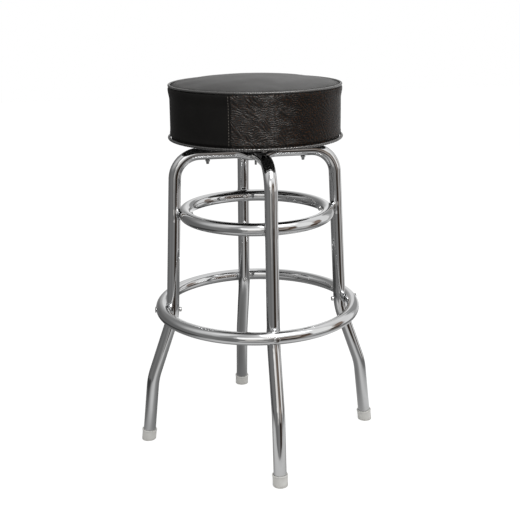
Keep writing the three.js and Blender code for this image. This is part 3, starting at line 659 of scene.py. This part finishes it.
cap_inner = tube_radius + seat_gap
cap_outer = cap_inner + 0.0017
cap_lip = cap_outer + 0.0008
cap_rim = 0.022
cup = lathe(rounded([
    (0, -0.004), (cap_outer, -0.004), (cap_outer, cap_rim - 0.0036), (cap_lip, cap_rim - 0.0029),
    (cap_lip, cap_rim - 0.0004), (cap_outer - 0.0006, cap_rim), (cap_inner, cap_rim - 0.0003),
    (cap_inner, cap_sole_depth), (0, cap_sole_depth),
], 0.0007), 64)
cup.transform(along(foot_point, foot_up))
cut = bmesh.ops.bisect_plane(
    cup, geom=cup.verts[:] + cup.edges[:] + cup.faces[:], plane_co=(0, 0, 0), plane_no=(0, 0, 1),
    clear_inner=True,
)
sole_edges = [e for e in cut["geom_cut"] if isinstance(e, bmesh.types.BMEdge)]
bmesh.ops.contextual_create(cup, geom=sole_edges)
bmesh.ops.recalc_face_normals(cup, faces=cup.faces)
four_of("foot_cap", [cup], Matrix.Identity(4), cap_plastic, "base")

# Chromed bolts through the rings. The foot ring's have low broad heads and reach right through each
# leg to a recessed sleeve nut; the upper ring's have domed heads and nuts welded inside the tubes.
# Their plating is duller than the tubes': tumbled in bulk, so finely scratched all over.
bolt_radius, tube_wall = 0.0032, 0.0016
tumbled_chrome, tree, place = new_finish("tumbled_chrome")
scratches = noise(tree, place, 700, 3, 0.7)
principled(tree, {
    "Base Color": ramp(tree, scratches, [(0.3, (0.66, 0.66, 0.655)), (0.7, (0.58, 0.58, 0.575))]),
    "Metallic": 1.0,
    "Roughness": spread(tree, scratches, 0.3, 0.7, 0.14, 0.24),
    "Normal": bumped(tree, scratches, 0.08, 0.0002),
})


def dome(radius, rim, top, steps):
    slopes = np.linspace(0, math.pi / 2, steps)[:-1]
    return [(radius * math.cos(a) ** 0.8, rim + (top - rim) * math.sin(a)) for a in slopes] + [(0, top)]


def button_bolt(head_radius, head_height, length):
    edge = [(head_radius - 0.0004, 0.0), (head_radius, 0.0003)]
    shank = [(0, -length), (bolt_radius - 0.001, -length), (bolt_radius, 0.001 - length), (bolt_radius, 0)]
    return lathe(shank + edge + dome(head_radius, 0.15 * head_height, head_height, 12), 40)


def hexagon(width, height, chamfer):
    body = bmesh.new()
    corner = width / math.sqrt(3)
    bmesh.ops.create_cone(
        body, cap_ends=True, segments=6, radius1=corner, radius2=corner, depth=height,
        matrix=Matrix.Translation((0, 0, height / 2)),
    )
    bmesh.ops.bevel(body, geom=body.edges[:], offset=chamfer, segments=2, affect="EDGES")
    return body


outward, inward = tuple(leg_out), tuple(-leg_out)
foot_head = foot_ring_at + leg_out * (tube_radius + seat_gap)
upper_head = upper_ring_at - leg_out * (tube_radius + seat_gap)
saddle_wall = ring_standoff - (tube_radius - saddle_depth) + tube_wall
foot_bolt_length = 2 * tube_radius + ring_standoff + 2 * seat_gap + 0.0033
upper_bolt_length = tube_radius + saddle_wall + 2 * seat_gap + 0.005
for name, head_radius, head_height, length, seat, way in (
    ("foot_ring_bolt", 0.0068, 0.0020, foot_bolt_length, foot_head, outward),
    ("upper_ring_bolt", 0.0060, 0.0038, upper_bolt_length, upper_head, inward),
):
    bolt = button_bolt(head_radius, head_height, length)
    four_of(name, [bolt], along(seat, way), tumbled_chrome, "base")

nut_seat = foot_ring_at - leg_out * (ring_standoff + tube_radius + seat_gap)
sleeve = lathe([
    (0.0035, 0.0036), (0.0035, 0), (0.0044, 0), (0.0048, 0.0004), (0.0048, 0.0028), (0.0045, 0.0040),
    (0.0039, 0.0047), (0.0031, 0.0050), (0.0022, 0.0050), (0.0020, 0.0040), (0, 0.0038), (0, 0.0036),
], 40)
sleeve_at = along(nut_seat, inward)
four_of("foot_ring_sleeve_nut", [sleeve], sleeve_at, tumbled_chrome, "base")

# Zinc-plated steel, faintly spangled and stained. The nuts welded inside the tubes, the cage of
# the balls and the rivet keep their solids and only take on this plating.
zinc, tree, place = new_finish("zinc_plate")
spangle = noise(tree, place, 420, 3, 0.6)
stain = noise(tree, place, 70, 3, 0.6)
tone = ramp(tree, stain, [(0.3, (0.55, 0.56, 0.57)), (0.7, (0.42, 0.42, 0.41))])
principled(tree, {
    "Base Color": tone,
    "Metallic": 1.0,
    "Roughness": spread(tree, spangle, 0.3, 0.7, 0.24, 0.44),
    "Normal": bumped(tree, spangle, 0.1, 0.0002),
})
weld_nuts = [f"upper_ring_weld_nut_{side}" for side in sides_of_world]
for name in weld_nuts + ["swivel_ball_cage", "swivel_rivet"]:
    nodes[name].material_slots[0].material = zinc

# The swivel: two plates stamped from 2.3 mm sheet and painted black, each with a raised disc and
# a groove for the balls, held face to face by a hollow rivet
swivel_bottom, swivel_top = 0.6222, 0.6412
plate_thickness, plate_corner = 0.0023, 0.012
bolt_circle = 0.0982
plate_half = 0.07911
disc_radius, disc_skirt, race_radius, ball_radius = 0.0498, 0.007, 0.03835, 0.003175
disc_gap, groove_depth, groove_half, rivet_hole = 0.0023, 0.0027, 0.0042, 0.0104
skirt_from, skirt_width = disc_radius - 0.002, disc_skirt + 0.002
disc_rise = (swivel_top - swivel_bottom - disc_gap) / 2 - plate_thickness

black_paint, tree, place = new_finish("black_painted_steel")
orange_peel = noise(tree, place, 380, 2, 0.5)
dust = noise(tree, place, 45, 5, 0.65)
tone = ramp(tree, dust, [(0.35, (0.010, 0.010, 0.011)), (0.75, (0.026, 0.025, 0.024))])
principled(tree, {
    "Base Color": tone,
    "Roughness": spread(tree, dust, 0.3, 0.7, 0.34, 0.55),
    "Normal": bumped(tree, orange_peel, 0.12, 0.0004),
})


def plate_height(radius):
    raised = disc_rise * (1 - step_between((radius - skirt_from) / skirt_width))
    groove = groove_depth * np.clip(1 - ((radius - race_radius) / groove_half) ** 2, 0, 1) ** 0.5
    return raised - groove


def swivel_plate(name, base, upside_down):
    facets = 128
    turns = circle(facets)
    straight = plate_half - plate_corner
    edge = []
    for turn in np.abs((turns + math.pi / 4) % (math.pi / 2) - math.pi / 4):
        c, s = math.cos(turn), math.sin(turn)
        reach = plate_half / c
        if reach * s > straight:
            along_ray = straight * (c + s)
            reach = along_ray + math.sqrt(along_ray ** 2 - 2 * straight ** 2 + plate_corner ** 2)
        edge.append(reach)
    edge = np.array(edge)
    inner = [rivet_hole, 0.016, 0.024, 0.031]
    inner += [race_radius + groove_half * share for share in (-1, -0.85, -0.6, -0.3, 0, 0.3, 0.6, 0.85, 1)]
    inner += [skirt_from + skirt_width * k / 9 for k in range(10)]
    rows = [np.full(facets, radius) for radius in inner]
    rows += [inner[-1] + (edge - inner[-1]) * share for share in (0.3, 0.65, 1.0)]
    radii = np.array(rows)
    lower = plate_height(radii)
    heights = np.concatenate([lower, lower[::-1] + plate_thickness])
    points = spun(np.concatenate([radii, radii[::-1]]), turns + math.pi / 4, heights)
    if upside_down:
        points[..., 1:] *= -1
    points[..., 2] += base
    piece = mesh_of(name, points, grid_faces(len(points), facets, True), black_paint)
    face_out(piece)
    piece.data.set_sharp_from_angle(angle=math.radians(50))
    return piece


for name, base, upside_down, body_name in (
    ("swivel_bottom_plate", swivel_bottom, False, "base"), ("swivel_top_plate", swivel_top, True, "seat"),
):
    piece = swivel_plate(name + "_stamping", base, upside_down)
    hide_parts(name)
    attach(piece, body_name)

# Twelve steel balls, filmed with grease, run in the grooves between the two plates. They roll half
# as far as the seat turns, so they ride with the cage.
bright_steel, tree, place = new_finish("bearing_balls")
grease = noise(tree, place, 260, 3, 0.6)
principled(tree, {
    "Base Color": ramp(tree, grease, [(0.35, (0.52, 0.52, 0.53)), (0.7, (0.36, 0.33, 0.27))]),
    "Metallic": 1.0,
    "Roughness": spread(tree, grease, 0.3, 0.7, 0.08, 0.3),
})
ball = lathe([
    (ball_radius * math.sin(a), -ball_radius * math.cos(a)) for a in np.linspace(0, math.pi, 13)
], 20)
bearing_height = (swivel_top + swivel_bottom) / 2
shape = pattern("ball", [ball], Matrix.Translation((race_radius, 0, bearing_height)), bright_steel, 180)
piece = set_round("swivel_balls", shape, bright_steel, 12)
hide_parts(*[f"swivel_ball_{i}" for i in range(1, 13)])
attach(piece, "ball_race")

# Zinc-plated bolts hold the lower plate to the arms with nuts underneath, one more goes down
# through the crossed tubes, and pan-head screws hold the upper plate to the seat board.
nut_height, bolt_end, into_head = 0.0036, 0.0049, 0.0003
nut_taper, nut_taper_below = 0.86, 0.001


def threaded(radius, length, top):
    lead_in, half_pitch, thread_depth, threaded_share = 0.0010, 0.0005, 0.0003, 0.45
    ridges = [
        (radius - (thread_depth if k % 2 else 0), -length + lead_in + half_pitch * k)
        for k in range(int(round((length - lead_in) / half_pitch * threaded_share)))
    ]
    return lathe([(0, -length), (radius - 0.0008, -length)] + ridges + [(radius, top), (0, top)], 24)


def on_bolt_circle(height):
    return Matrix.Translation((bolt_circle, 0, height))


grip = plate_thickness + 3 * seat_gap + 2 * tube_radius + nut_height + bolt_end
bolt = [hexagon(width=0.011, height=0.0042, chamfer=0.0004), threaded(bolt_radius, grip, into_head)]
bolt_at = on_bolt_circle(swivel_bottom + plate_thickness + seat_gap)
four_of("swivel_bolt", bolt, bolt_at, zinc, "base")

nut = hexagon(width=0.0096, height=nut_height, chamfer=0.0004)
for vertex in nut.verts:
    if vertex.co.z < nut_taper_below:
        vertex.co.x, vertex.co.y = vertex.co.x * nut_taper, vertex.co.y * nut_taper
nut.transform(Matrix.Translation((0, 0, -nut_height)))
nut_at = on_bolt_circle(arm_height - tube_radius - seat_gap)
four_of("swivel_nut", [nut], nut_at, zinc, "base")

head = lathe([(0, -0.0002), (0.0043, -0.0002), (0.00475, 0.0002)] + dome(0.00475, 0.0006, 0.0024, 8), 32)
stem = threaded(0.0025, 2 * crossing_thickness + 2 * seat_gap + 0.010, into_head)
crossing_top = arm_height + tube_radius + seat_gap
piece = pattern("crossing_bolt_turned", [head, stem], Matrix.Translation((0, 0, crossing_top)), zinc)
scene.collection.objects.link(piece)
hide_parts("crossing_bolt")
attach(piece, "base")

screw = lathe([
    (0, -0.0020), (0.0012, -0.0020), (0.0016, -0.0028), (0.0030, -0.0027), (0.0043, -0.0019),
    (0.00475, -0.0008), (0.00475, 0), (0.0025, 0), (0.0025, 0.0070), (0, 0.0118),
], 32)
screw_at = on_bolt_circle(swivel_top - plate_thickness - seat_gap)
four_of("seat_screw", [screw], screw_at, zinc, "seat")

# The seat board: 12 mm plywood, hidden in the cushion. Its plies show as bands round the edge and
# its grain on both faces.
plywood, tree, place = new_finish("birch_plywood")
drawn = add(tree, "ShaderNodeMapping", {"Vector": place, "Scale": (14, 120, 20)}).outputs[0]
grain = noise(tree, drawn, 3, 5, 0.6, 0.4)
plies = add(tree, "ShaderNodeTexWave", {
    "Vector": place, "Scale": 66.0, "Distortion": 0.6, "Detail": 1.0,
}, wave_type="BANDS", bands_direction="Z").outputs["Fac"]
light_wood = ramp(tree, grain, [(0.3, (0.50, 0.34, 0.19)), (0.7, (0.38, 0.24, 0.12))])
tone = tint(tree, spread(tree, plies, 0.55, 0.75, 0.0, 0.5), light_wood, (0.20, 0.11, 0.05, 1))
principled(tree, {
    "Base Color": tone,
    "Roughness": spread(tree, grain, 0.3, 0.7, 0.6, 0.8),
    "Normal": bumped(tree, grain, 0.2, 0.0003),
})
nodes["seat_board"].material_slots[0].material = plywood

# The cushion: a firm foam pad under a round top panel of black grained vinyl. It crowns between
# its sewn edge all round, and the panel gathers finely where the welt is sewn in.
seam_radius, rim_height, board_top = 0.1712, 0.7488, 0.6549
crown_rise, crown_power, panel_radius, edge_dip, start_inset = 0.0132, 2.8, 0.1685, 0.0006, 0.0008
sewn_from, sewn_height, sewn_reach, glued_reach = 0.164, 0.7462, 0.004, 0.003
stuffing_force, settled_at, most_swell = 4, 20, 0.004
foam_half, foam_side_top, panel_low = 0.1696, 0.7440, 0.7445


def ripples(angle, waves, seed):
    draw = np.random.default_rng(seed)
    low, high = waves
    counts = draw.integers(low, high, 26)
    phases = draw.uniform(0, 2 * math.pi, 26)
    sizes = draw.uniform(0.4, 1.0, 26)
    total = sum(size * np.cos(count * angle + phase) for count, phase, size in zip(counts, phases, sizes))
    return total / np.sqrt((sizes ** 2).sum() / 2) / 2


def hump(value, centre, width):
    return np.exp(-((value - centre) / width) ** 2)


def spots_in(mesh):
    return np.array([vertex.co for vertex in mesh.vertices])


def move_to(mesh, points):
    mesh.vertices.foreach_set("co", points.astype(np.float32).ravel())
    mesh.update()


def vinyl_finish(name, shine, roughness, coat=0.0, cell=900.0, follows_band=False, gathered=False):
    finish, tree, where = new_finish(name, "cut_cloth" if follows_band else None)
    pebble = add(tree, "ShaderNodeTexVoronoi", {"Vector": where, "Scale": cell}, feature="SMOOTH_F1")
    pores = noise(tree, where, 1500, 2, 0.6)
    handling = noise(tree, where, 14, 4, 0.6)
    normal = bumped(tree, pebble.outputs["Distance"], 0.24, 0.27 / cell)
    normal = bumped(tree, pores, 0.12, 0.0002, normal)
    rough = spread(tree, handling, 0.3, 0.7, roughness, roughness + 0.1)
    tone = ramp(tree, handling, [(0.35, (0.0060, 0.0058, 0.0056)), (0.7, (0.0092, 0.0088, 0.0082))])
    if follows_band:
        # The creases fade towards the strip's end. From 0.13 to 0.31 m round they are calmer and dull
        length_along = axis_of(tree, where, "X")
        embossed = spread(tree, length_along, 0.80, 0.95, 1.0, 0.06)
        fresh = spread(tree, length_along, 0.31, 0.38, 0.0, 0.8)
        worn, calm = (
            calc(tree, "MAXIMUM", spread(tree, length_along, *faded), fresh)
            for faded in ((0.075, 0.135, 1.0, 0.24), (0.100, 0.170, 1.0, 0.45))
        )
        # Creases in two directions, bent by a slow drift and laid in patches
        drift = add(tree, "ShaderNodeTexNoise", {"Vector": where, "Scale": 24.0, "Detail": 1.0})
        drifted = vector_calc(tree, "MULTIPLY_ADD", drift.outputs["Color"], (0.030, 0.030, 0.0), where)[0]
        upright, slanting = (
            add(tree, "ShaderNodeTexWave", {
                "Vector": drifted, "Scale": scale, "Distortion": 6.0, "Detail": 2.5,
                "Detail Scale": 0.9, "Detail Roughness": 0.6,
            }, bands_direction=lie).outputs["Fac"]
            for lie, scale in (("Y", 88.0), ("DIAGONAL", 62.0))
        )
        slanted = spread(tree, noise(tree, where, 34, 1, 0.5), 0.49, 0.57)
        swirls = add(tree, "ShaderNodeMix", {0: slanted, 2: upright, 3: slanting}).outputs[0]
        patches = spread(tree, noise(tree, where, 78, 2, 0.5), 0.36, 0.62, 0.30, 0.90)
        strength = calc(tree, "MULTIPLY", calc(tree, "MULTIPLY", embossed, patches), calm)
        fine = noise(tree, where, 420, 2, 0.6, 1.2)
        normal = bumped(tree, fine, calc(tree, "MULTIPLY", embossed, 0.5), 0.0006, normal)
        normal = bumped(tree, swirls, strength, 0.0017, normal)
        # Shine and the brown specks where the surface has rubbed through follow the embossing
        rough = add(tree, "ShaderNodeMix", {0: embossed, 2: 0.62, 3: rough}).outputs[0]
        shine = calc(tree, "MULTIPLY", spread(tree, embossed, 0.0, 1.0, 0.15, shine), worn)
        rubbed = spread(tree, noise(tree, where, 330, 2, 0.6), 0.54, 0.64)
        handled = calc(tree, "MULTIPLY", embossed, spread(tree, fresh, 0.0, 0.8, 1.0, 0.4))
        rub = calc(tree, "MULTIPLY", rubbed, handled)
        tone = tint(tree, rub, tone, (0.044, 0.0180, 0.0070, 1))
    if gathered:
        way_round = calc(tree, "ARCTAN2", axis_of(tree, where, "Y"), axis_of(tree, where, "X"))
        uneven = calc(tree, "MULTIPLY", noise(tree, where, 70, 2, 0.5), 26.0)
        folds = calc(tree, "SINE", calc(tree, "MULTIPLY_ADD", way_round, 190.0, uneven))
        flat = vector_calc(tree, "MULTIPLY", where, (1, 1, 0))[0]
        out_from_axis = vector_calc(tree, "LENGTH", flat)["Value"]
        normal = bumped(tree, folds, spread(tree, out_from_axis, 0.152, 0.166, 0.0, 0.8), 0.0005, normal)
    principled(tree, {
        "Base Color": tone, "Roughness": rough, "Specular IOR Level": shine, "Normal": normal,
        "Coat Weight": coat, "Coat Roughness": 0.16, "Specular Tint": (1.0, 0.97, 0.94, 1),
    })
    return finish


top_vinyl = vinyl_finish("grained_vinyl", 0.52, 0.38, cell=420.0, gathered=True)
edge_height, full_rise = rim_height - edge_dip - start_inset, crown_rise + edge_dip
crown_line = [
    (r, edge_height + full_rise * (1 - (r / panel_radius) ** crown_power))
    for r in np.linspace(0, panel_radius, 40)
]
side_line = [(0.1690, 0.7455), (0.1692, 0.7425), (0.1694, 0.7350), (0.1695, 0.7020), (0.1694, 0.6700)]
pad = lathe(crown_line + side_line + [(0.1690, board_top), (0, board_top)], 160)
piece = pattern("seat_cushion", [pad], Matrix.Identity(4), top_vinyl, 180)
scene.collection.objects.link(piece)
remesh = piece.modifiers.new("even", "REMESH")
remesh.mode = "VOXEL"
remesh.voxel_size = 0.005
apply_modifiers(piece)
resting = spots_in(piece.data)
out = np.hypot(resting[:, 0], resting[:, 1])
held = piece.vertex_groups.new(name="held")
sewn = (out > sewn_from) & (np.abs(resting[:, 2] - sewn_height) < sewn_reach)
glued = resting[:, 2] < board_top + glued_reach
held.add([int(i) for i in np.flatnonzero(sewn | glued)], 1.0, "REPLACE")
cloth = piece.modifiers.new("stuffing", "CLOTH")
cloth.settings.use_pressure = True
cloth.settings.uniform_pressure_force = stuffing_force
cloth.settings.effector_weights.gravity = 0
cloth.settings.vertex_group_mass = "held"
for step in range(1, settled_at + 1):
    scene.frame_set(step)
depsgraph = bpy.context.evaluated_depsgraph_get()
swollen = piece.evaluated_get(depsgraph).to_mesh()
swelled = spots_in(swollen) - resting
piece.evaluated_get(depsgraph).to_mesh_clear()
piece.modifiers.clear()
scene.frame_set(1)
size = np.linalg.norm(swelled, axis=1)[:, None]
swelled *= np.minimum(1, most_swell / np.maximum(size, 1e-9))
resting = resting + swelled
resting[:, 2] = np.maximum(resting[:, 2], board_top)
out = np.hypot(resting[:, 0], resting[:, 1])
over = np.maximum(0, out - foam_half) * (resting[:, 2] < foam_side_top)
resting[:, :2] *= (1 - over / out.clip(1e-6))[:, None]
move_to(piece.data, resting)
finer = piece.modifiers.new("finer", "SUBSURF")
finer.levels = finer.render_levels = 1
apply_modifiers(piece)
points = spots_in(piece.data)
out = np.hypot(points[:, 0], points[:, 1])
turn_at = np.arctan2(points[:, 1], points[:, 0])
gather = hump(out, panel_radius, 0.008) * (points[:, 2] > panel_low)
points[:, 2] += 0.00045 * gather * ripples(turn_at, (130, 220), 11)
unevenness = hump(out, 0.14, 0.03) * (points[:, 2] > panel_low)
points[:, 2] += 0.0004 * ripples(turn_at, (3, 14), 12) * unevenness
move_to(piece.data, points)
piece.data.shade_smooth()
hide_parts("foam_pad", "seat_top_panel")
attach(piece, "seat")

# The side band: one strip of vinyl embossed with swirling creases, drawn tight round the foam. Its
# ends meet in an upright seam. It curls in under the top welt and is drawn in over the lower one.
band_top, cover_bottom, vinyl_thickness = 0.7437, 0.6411, 0.0012
band_half, swell, draw_in = 0.1710, 0.0026, 0.0012
seam_turn = math.radians(-25.2) - math.pi / 2
facets = 720
turns = seam_turn + circle(facets)
heights = np.concatenate([
    np.linspace(band_top, band_top - 0.008, 15)[:-1],
    np.linspace(band_top - 0.008, cover_bottom + 0.014, 34)[:-1],
    np.linspace(cover_bottom + 0.014, cover_bottom + 0.003, 16),
])


def band_radius(turn, height):
    from_top, from_bottom = band_top - height, height - cover_bottom
    share = from_bottom / (band_top - cover_bottom)
    # Fuller near the top welt and curled in under it, drawn in over the lower one with a roll above
    radius = band_half + swell * (1 - step_between((from_top - 0.0055) / 0.0200))
    curl = np.clip(1 - from_top / 0.0042, 0, 1)
    radius = radius - 0.0031 * (1 - np.sqrt(1 - curl ** 2))
    radius -= (draw_in + 0.0006) * (1 - step_between((from_bottom - 0.0050) / 0.0035))
    radius += 0.0005 * hump(from_bottom, 0.010, 0.004)
    # Puckers beside both welts and slow swells between them
    radius += 0.00020 * hump(from_top, 0.005, 0.006) * ripples(turn, (110, 190), 21)
    radius += 0.00030 * hump(from_bottom, 0.009, 0.006) * ripples(turn, (90, 170), 22)
    radius += 0.00030 * ripples(turn + 0.8 * height, (5, 24), 23) * np.sin(share * math.pi)
    # The seam's groove, the fold beside it and the dent that the topstitching pulls
    past = ((turn - seam_turn + math.pi) % (2 * math.pi) - math.pi) * seam_radius
    radius -= 0.0008 * hump(past, 0.0, 0.0009)
    radius += 0.0005 * hump(past, 0.0026, 0.0024)
    radius -= 0.0003 * hump(past, -0.0035, 0.0012)
    return radius


band_vinyl = vinyl_finish("creased_vinyl", 0.40, 0.34, follows_band=True)
outer_rows = list(zip(band_radius(*np.meshgrid(turns, heights)), heights))
pleats = 0.00035 * (1 + ripples(turns, (60, 110), 24))
under_rows = [
    (radius, cover_bottom - pleats * math.sin(math.pi * k / 9))
    for k, radius in enumerate(np.linspace(0.1688, 0.1510, 10))
]
inner_half = band_half - vinyl_thickness
inner_rows = [
    (0.1510, cover_bottom + 0.0011), (0.1674, cover_bottom + 0.0011), (0.1680, cover_bottom + 0.002),
    (0.1680, cover_bottom + 0.006), (inner_half, cover_bottom + 0.010), (inner_half, 0.70),
    (inner_half, 0.73), (inner_half, 0.7425), (inner_half - 0.0003, band_top - 0.0002),
]
rows = outer_rows + under_rows + inner_rows
points = np.array([spun(radius, turns, height) for radius, height in rows])
piece = mesh_of("seat_side_band", points, grid_faces(len(rows), facets, True), band_vinyl)
body = bmesh.new()
body.from_mesh(piece.data)
bmesh.ops.recalc_face_normals(body, faces=body.faces)
cloth_map = body.loops.layers.uv.new("cut_cloth")
for face in body.faces:
    corners = [loop.vert.co for loop in face.loops]
    starts = [(math.atan2(at.y, at.x) - seam_turn) % (2 * math.pi) for at in corners]
    wraps = max(starts) - min(starts) > math.pi
    for loop, start in zip(face.loops, starts):
        start = start + 2 * math.pi if wraps and start < math.pi else start
        loop[cloth_map].uv = (start * seam_radius, loop.vert.co.z - cover_bottom)
body.to_mesh(piece.data)
body.free()
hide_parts("seat_band")
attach(piece, "seat")

# Topstitching beside the band's upright seam, in dark waxed thread. Each stitch is a short grain of
# twisted thread that follows the band's own bulge.
thread, tree, place = new_finish("waxed_thread")
twist = add(tree, "ShaderNodeTexWave", {
    "Vector": place, "Scale": 420.0, "Distortion": 1.0,
}, bands_direction="DIAGONAL").outputs["Fac"]
principled(tree, {
    "Base Color": ramp(tree, twist, [(0.3, (0.13, 0.115, 0.10)), (0.7, (0.26, 0.23, 0.20))]),
    "Roughness": spread(tree, twist, 0.3, 0.7, 0.5, 0.7),
    "Normal": bumped(tree, twist, 0.3, 0.0002),
})

stitch_tree, given = new_tree("stitch_row", [
    ("Path", "Object", None), ("Stitch", "Object", None), ("Count", "Int", 17),
    ("Finish", "Material", None),
])
line = add(stitch_tree, "GeometryNodeObjectInfo", {"Object": given["Path"]}).outputs["Geometry"]
spaced = add(stitch_tree, "GeometryNodeCurveToPoints", {
    "Curve": line, "Count": given["Count"],
}, mode="COUNT")
shape = add(stitch_tree, "GeometryNodeObjectInfo", {"Object": given["Stitch"]}).outputs["Geometry"]
sewn = add(
    stitch_tree, "GeometryNodeInstanceOnPoints",
    {"Points": spaced.outputs["Points"], "Instance": shape, "Rotation": spaced.outputs["Rotation"]},
)
end_tree(stitch_tree, sewn, given)

row_dots, beside_seam, stitch_half, stitch_length = 60, 0.0035, 0.00042, 0.0042
stitch_turn = seam_turn - beside_seam / seam_radius
row_heights = np.linspace(cover_bottom + 0.010, band_top - 0.005, row_dots)
row_radii = band_radius(np.full(row_dots, stitch_turn), row_heights) + 0.00015
path_data = bpy.data.curves.new("stitch_line", "CURVE")
path_data.dimensions = "3D"
spline = path_data.splines.new("POLY")
spline.points.add(row_dots - 1)
for dot, radius, height in zip(spline.points, row_radii, row_heights):
    dot.co = (radius * math.cos(stitch_turn), radius * math.sin(stitch_turn), height, 1)
path_object = bpy.data.objects.new("stitch_line", path_data)
loop_line = [
    (stitch_half * math.sin(math.pi * k / 12), stitch_length * k / 12 - stitch_length / 2) for k in range(13)
]
stitch = pattern("stitch", [lathe(loop_line, 8)], Matrix.Identity(4), thread, 180)
piece = made_by(stitch_tree, "seam_stitches", {
    "Path": path_object, "Stitch": stitch, "Count": 17, "Finish": thread,
})
bpy.data.objects.remove(stitch)
bpy.data.objects.remove(path_object)
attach(piece, "seat")

# Two welts, cord wrapped in vinyl and sewn in: a fine one round the top panel and a fuller one
# that makes the lip at the bottom. The wrapping puckers as it goes round.
welt_vinyl = vinyl_finish("welt_vinyl", 1.0, 0.20, coat=0.9)
for name, radius, height, bead, depth, count in (
    ("top_welt", seam_radius, 0.7464, 0.0023, 0.00016, 350.0),
    ("bottom_welt", 0.1731, 0.6426, 0.0026, 0.00028, 196.0),
):
    piece = made_by(ring_tree, name + "_cord", {
        "Ring Radius": radius, "Tube Radius": bead, "Height": height, "Facets": 1800,
        "Tube Facets": 16, "Crimp Depth": depth, "Crimp Count": count, "Seed": 3.0, "Finish": welt_vinyl,
    })
    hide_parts(name)
    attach(piece, "seat")

# The dust cover: thin black non-woven cloth stretched under the board and stapled over the folded
# vinyl. It steps down where it climbs over the fold and sags a little inside it.
dust_cloth, tree, place = new_finish("black_non_woven_cloth")
fibres = noise(tree, place, 900, 4, 0.75, 2.0)
lint = noise(tree, place, 40, 4, 0.6)
principled(tree, {
    "Base Color": ramp(tree, lint, [(0.35, (0.011, 0.011, 0.011)), (0.75, (0.028, 0.027, 0.026))]),
    "Roughness": spread(tree, fibres, 0.3, 0.7, 0.85, 0.98),
    "Normal": bumped(tree, fibres, 0.5, 0.0003),
})
cloth_top, cloth_radius, cloth_thickness, cloth_facets = 0.6423, 0.1603, 0.0006, 192
fold_edge, fold_depth = 0.1488, 0.0015
turns = circle(cloth_facets)
waves = 0.0005 * (1 + ripples(turns, (7, 20), 31))
low_rows = []
cloth_radii = [0.0005, *np.linspace(0.02, 0.144, 12), fold_edge]
cloth_radii += [0.1500, 0.1512, 0.1540, 0.1570, cloth_radius]
for radius in cloth_radii:
    step = step_between((radius - fold_edge) / 0.0020)
    sag = waves * step_between((radius - 0.118) / 0.02) * (1 - step)
    low_rows.append(spun(radius, turns, cloth_top - 0.0008 - sag - fold_depth * step))
low_face = np.array(low_rows)
points = np.concatenate([low_face, low_face[::-1] + (0, 0, cloth_thickness)])
piece = mesh_of("seat_dust_cover", points, grid_faces(len(points), cloth_facets, True), dust_cloth)
face_out(piece)
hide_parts("dust_cover")
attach(piece, "seat")

# Staples of flat wire hold the dust cover all round. They were shot by hand, so they do not stand
# quite evenly.
staple_circle, staple_height = 0.1556, 0.63965
crown_wire = bmesh.new()
bmesh.ops.create_cube(crown_wire, size=1)
crown_wire.transform(Matrix.Diagonal((0.0012, 0.0100, 0.0006, 1)))
bmesh.ops.bevel(crown_wire, geom=crown_wire.edges[:], offset=0.0002, segments=2, affect="EDGES")
shape = pattern("staple", [crown_wire], Matrix.Translation((staple_circle, 0, staple_height)), zinc)
piece = set_round("cover_staples", shape, zinc, count=26, start=0.12, jitter=0.03, seed=5)
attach(piece, "seat")
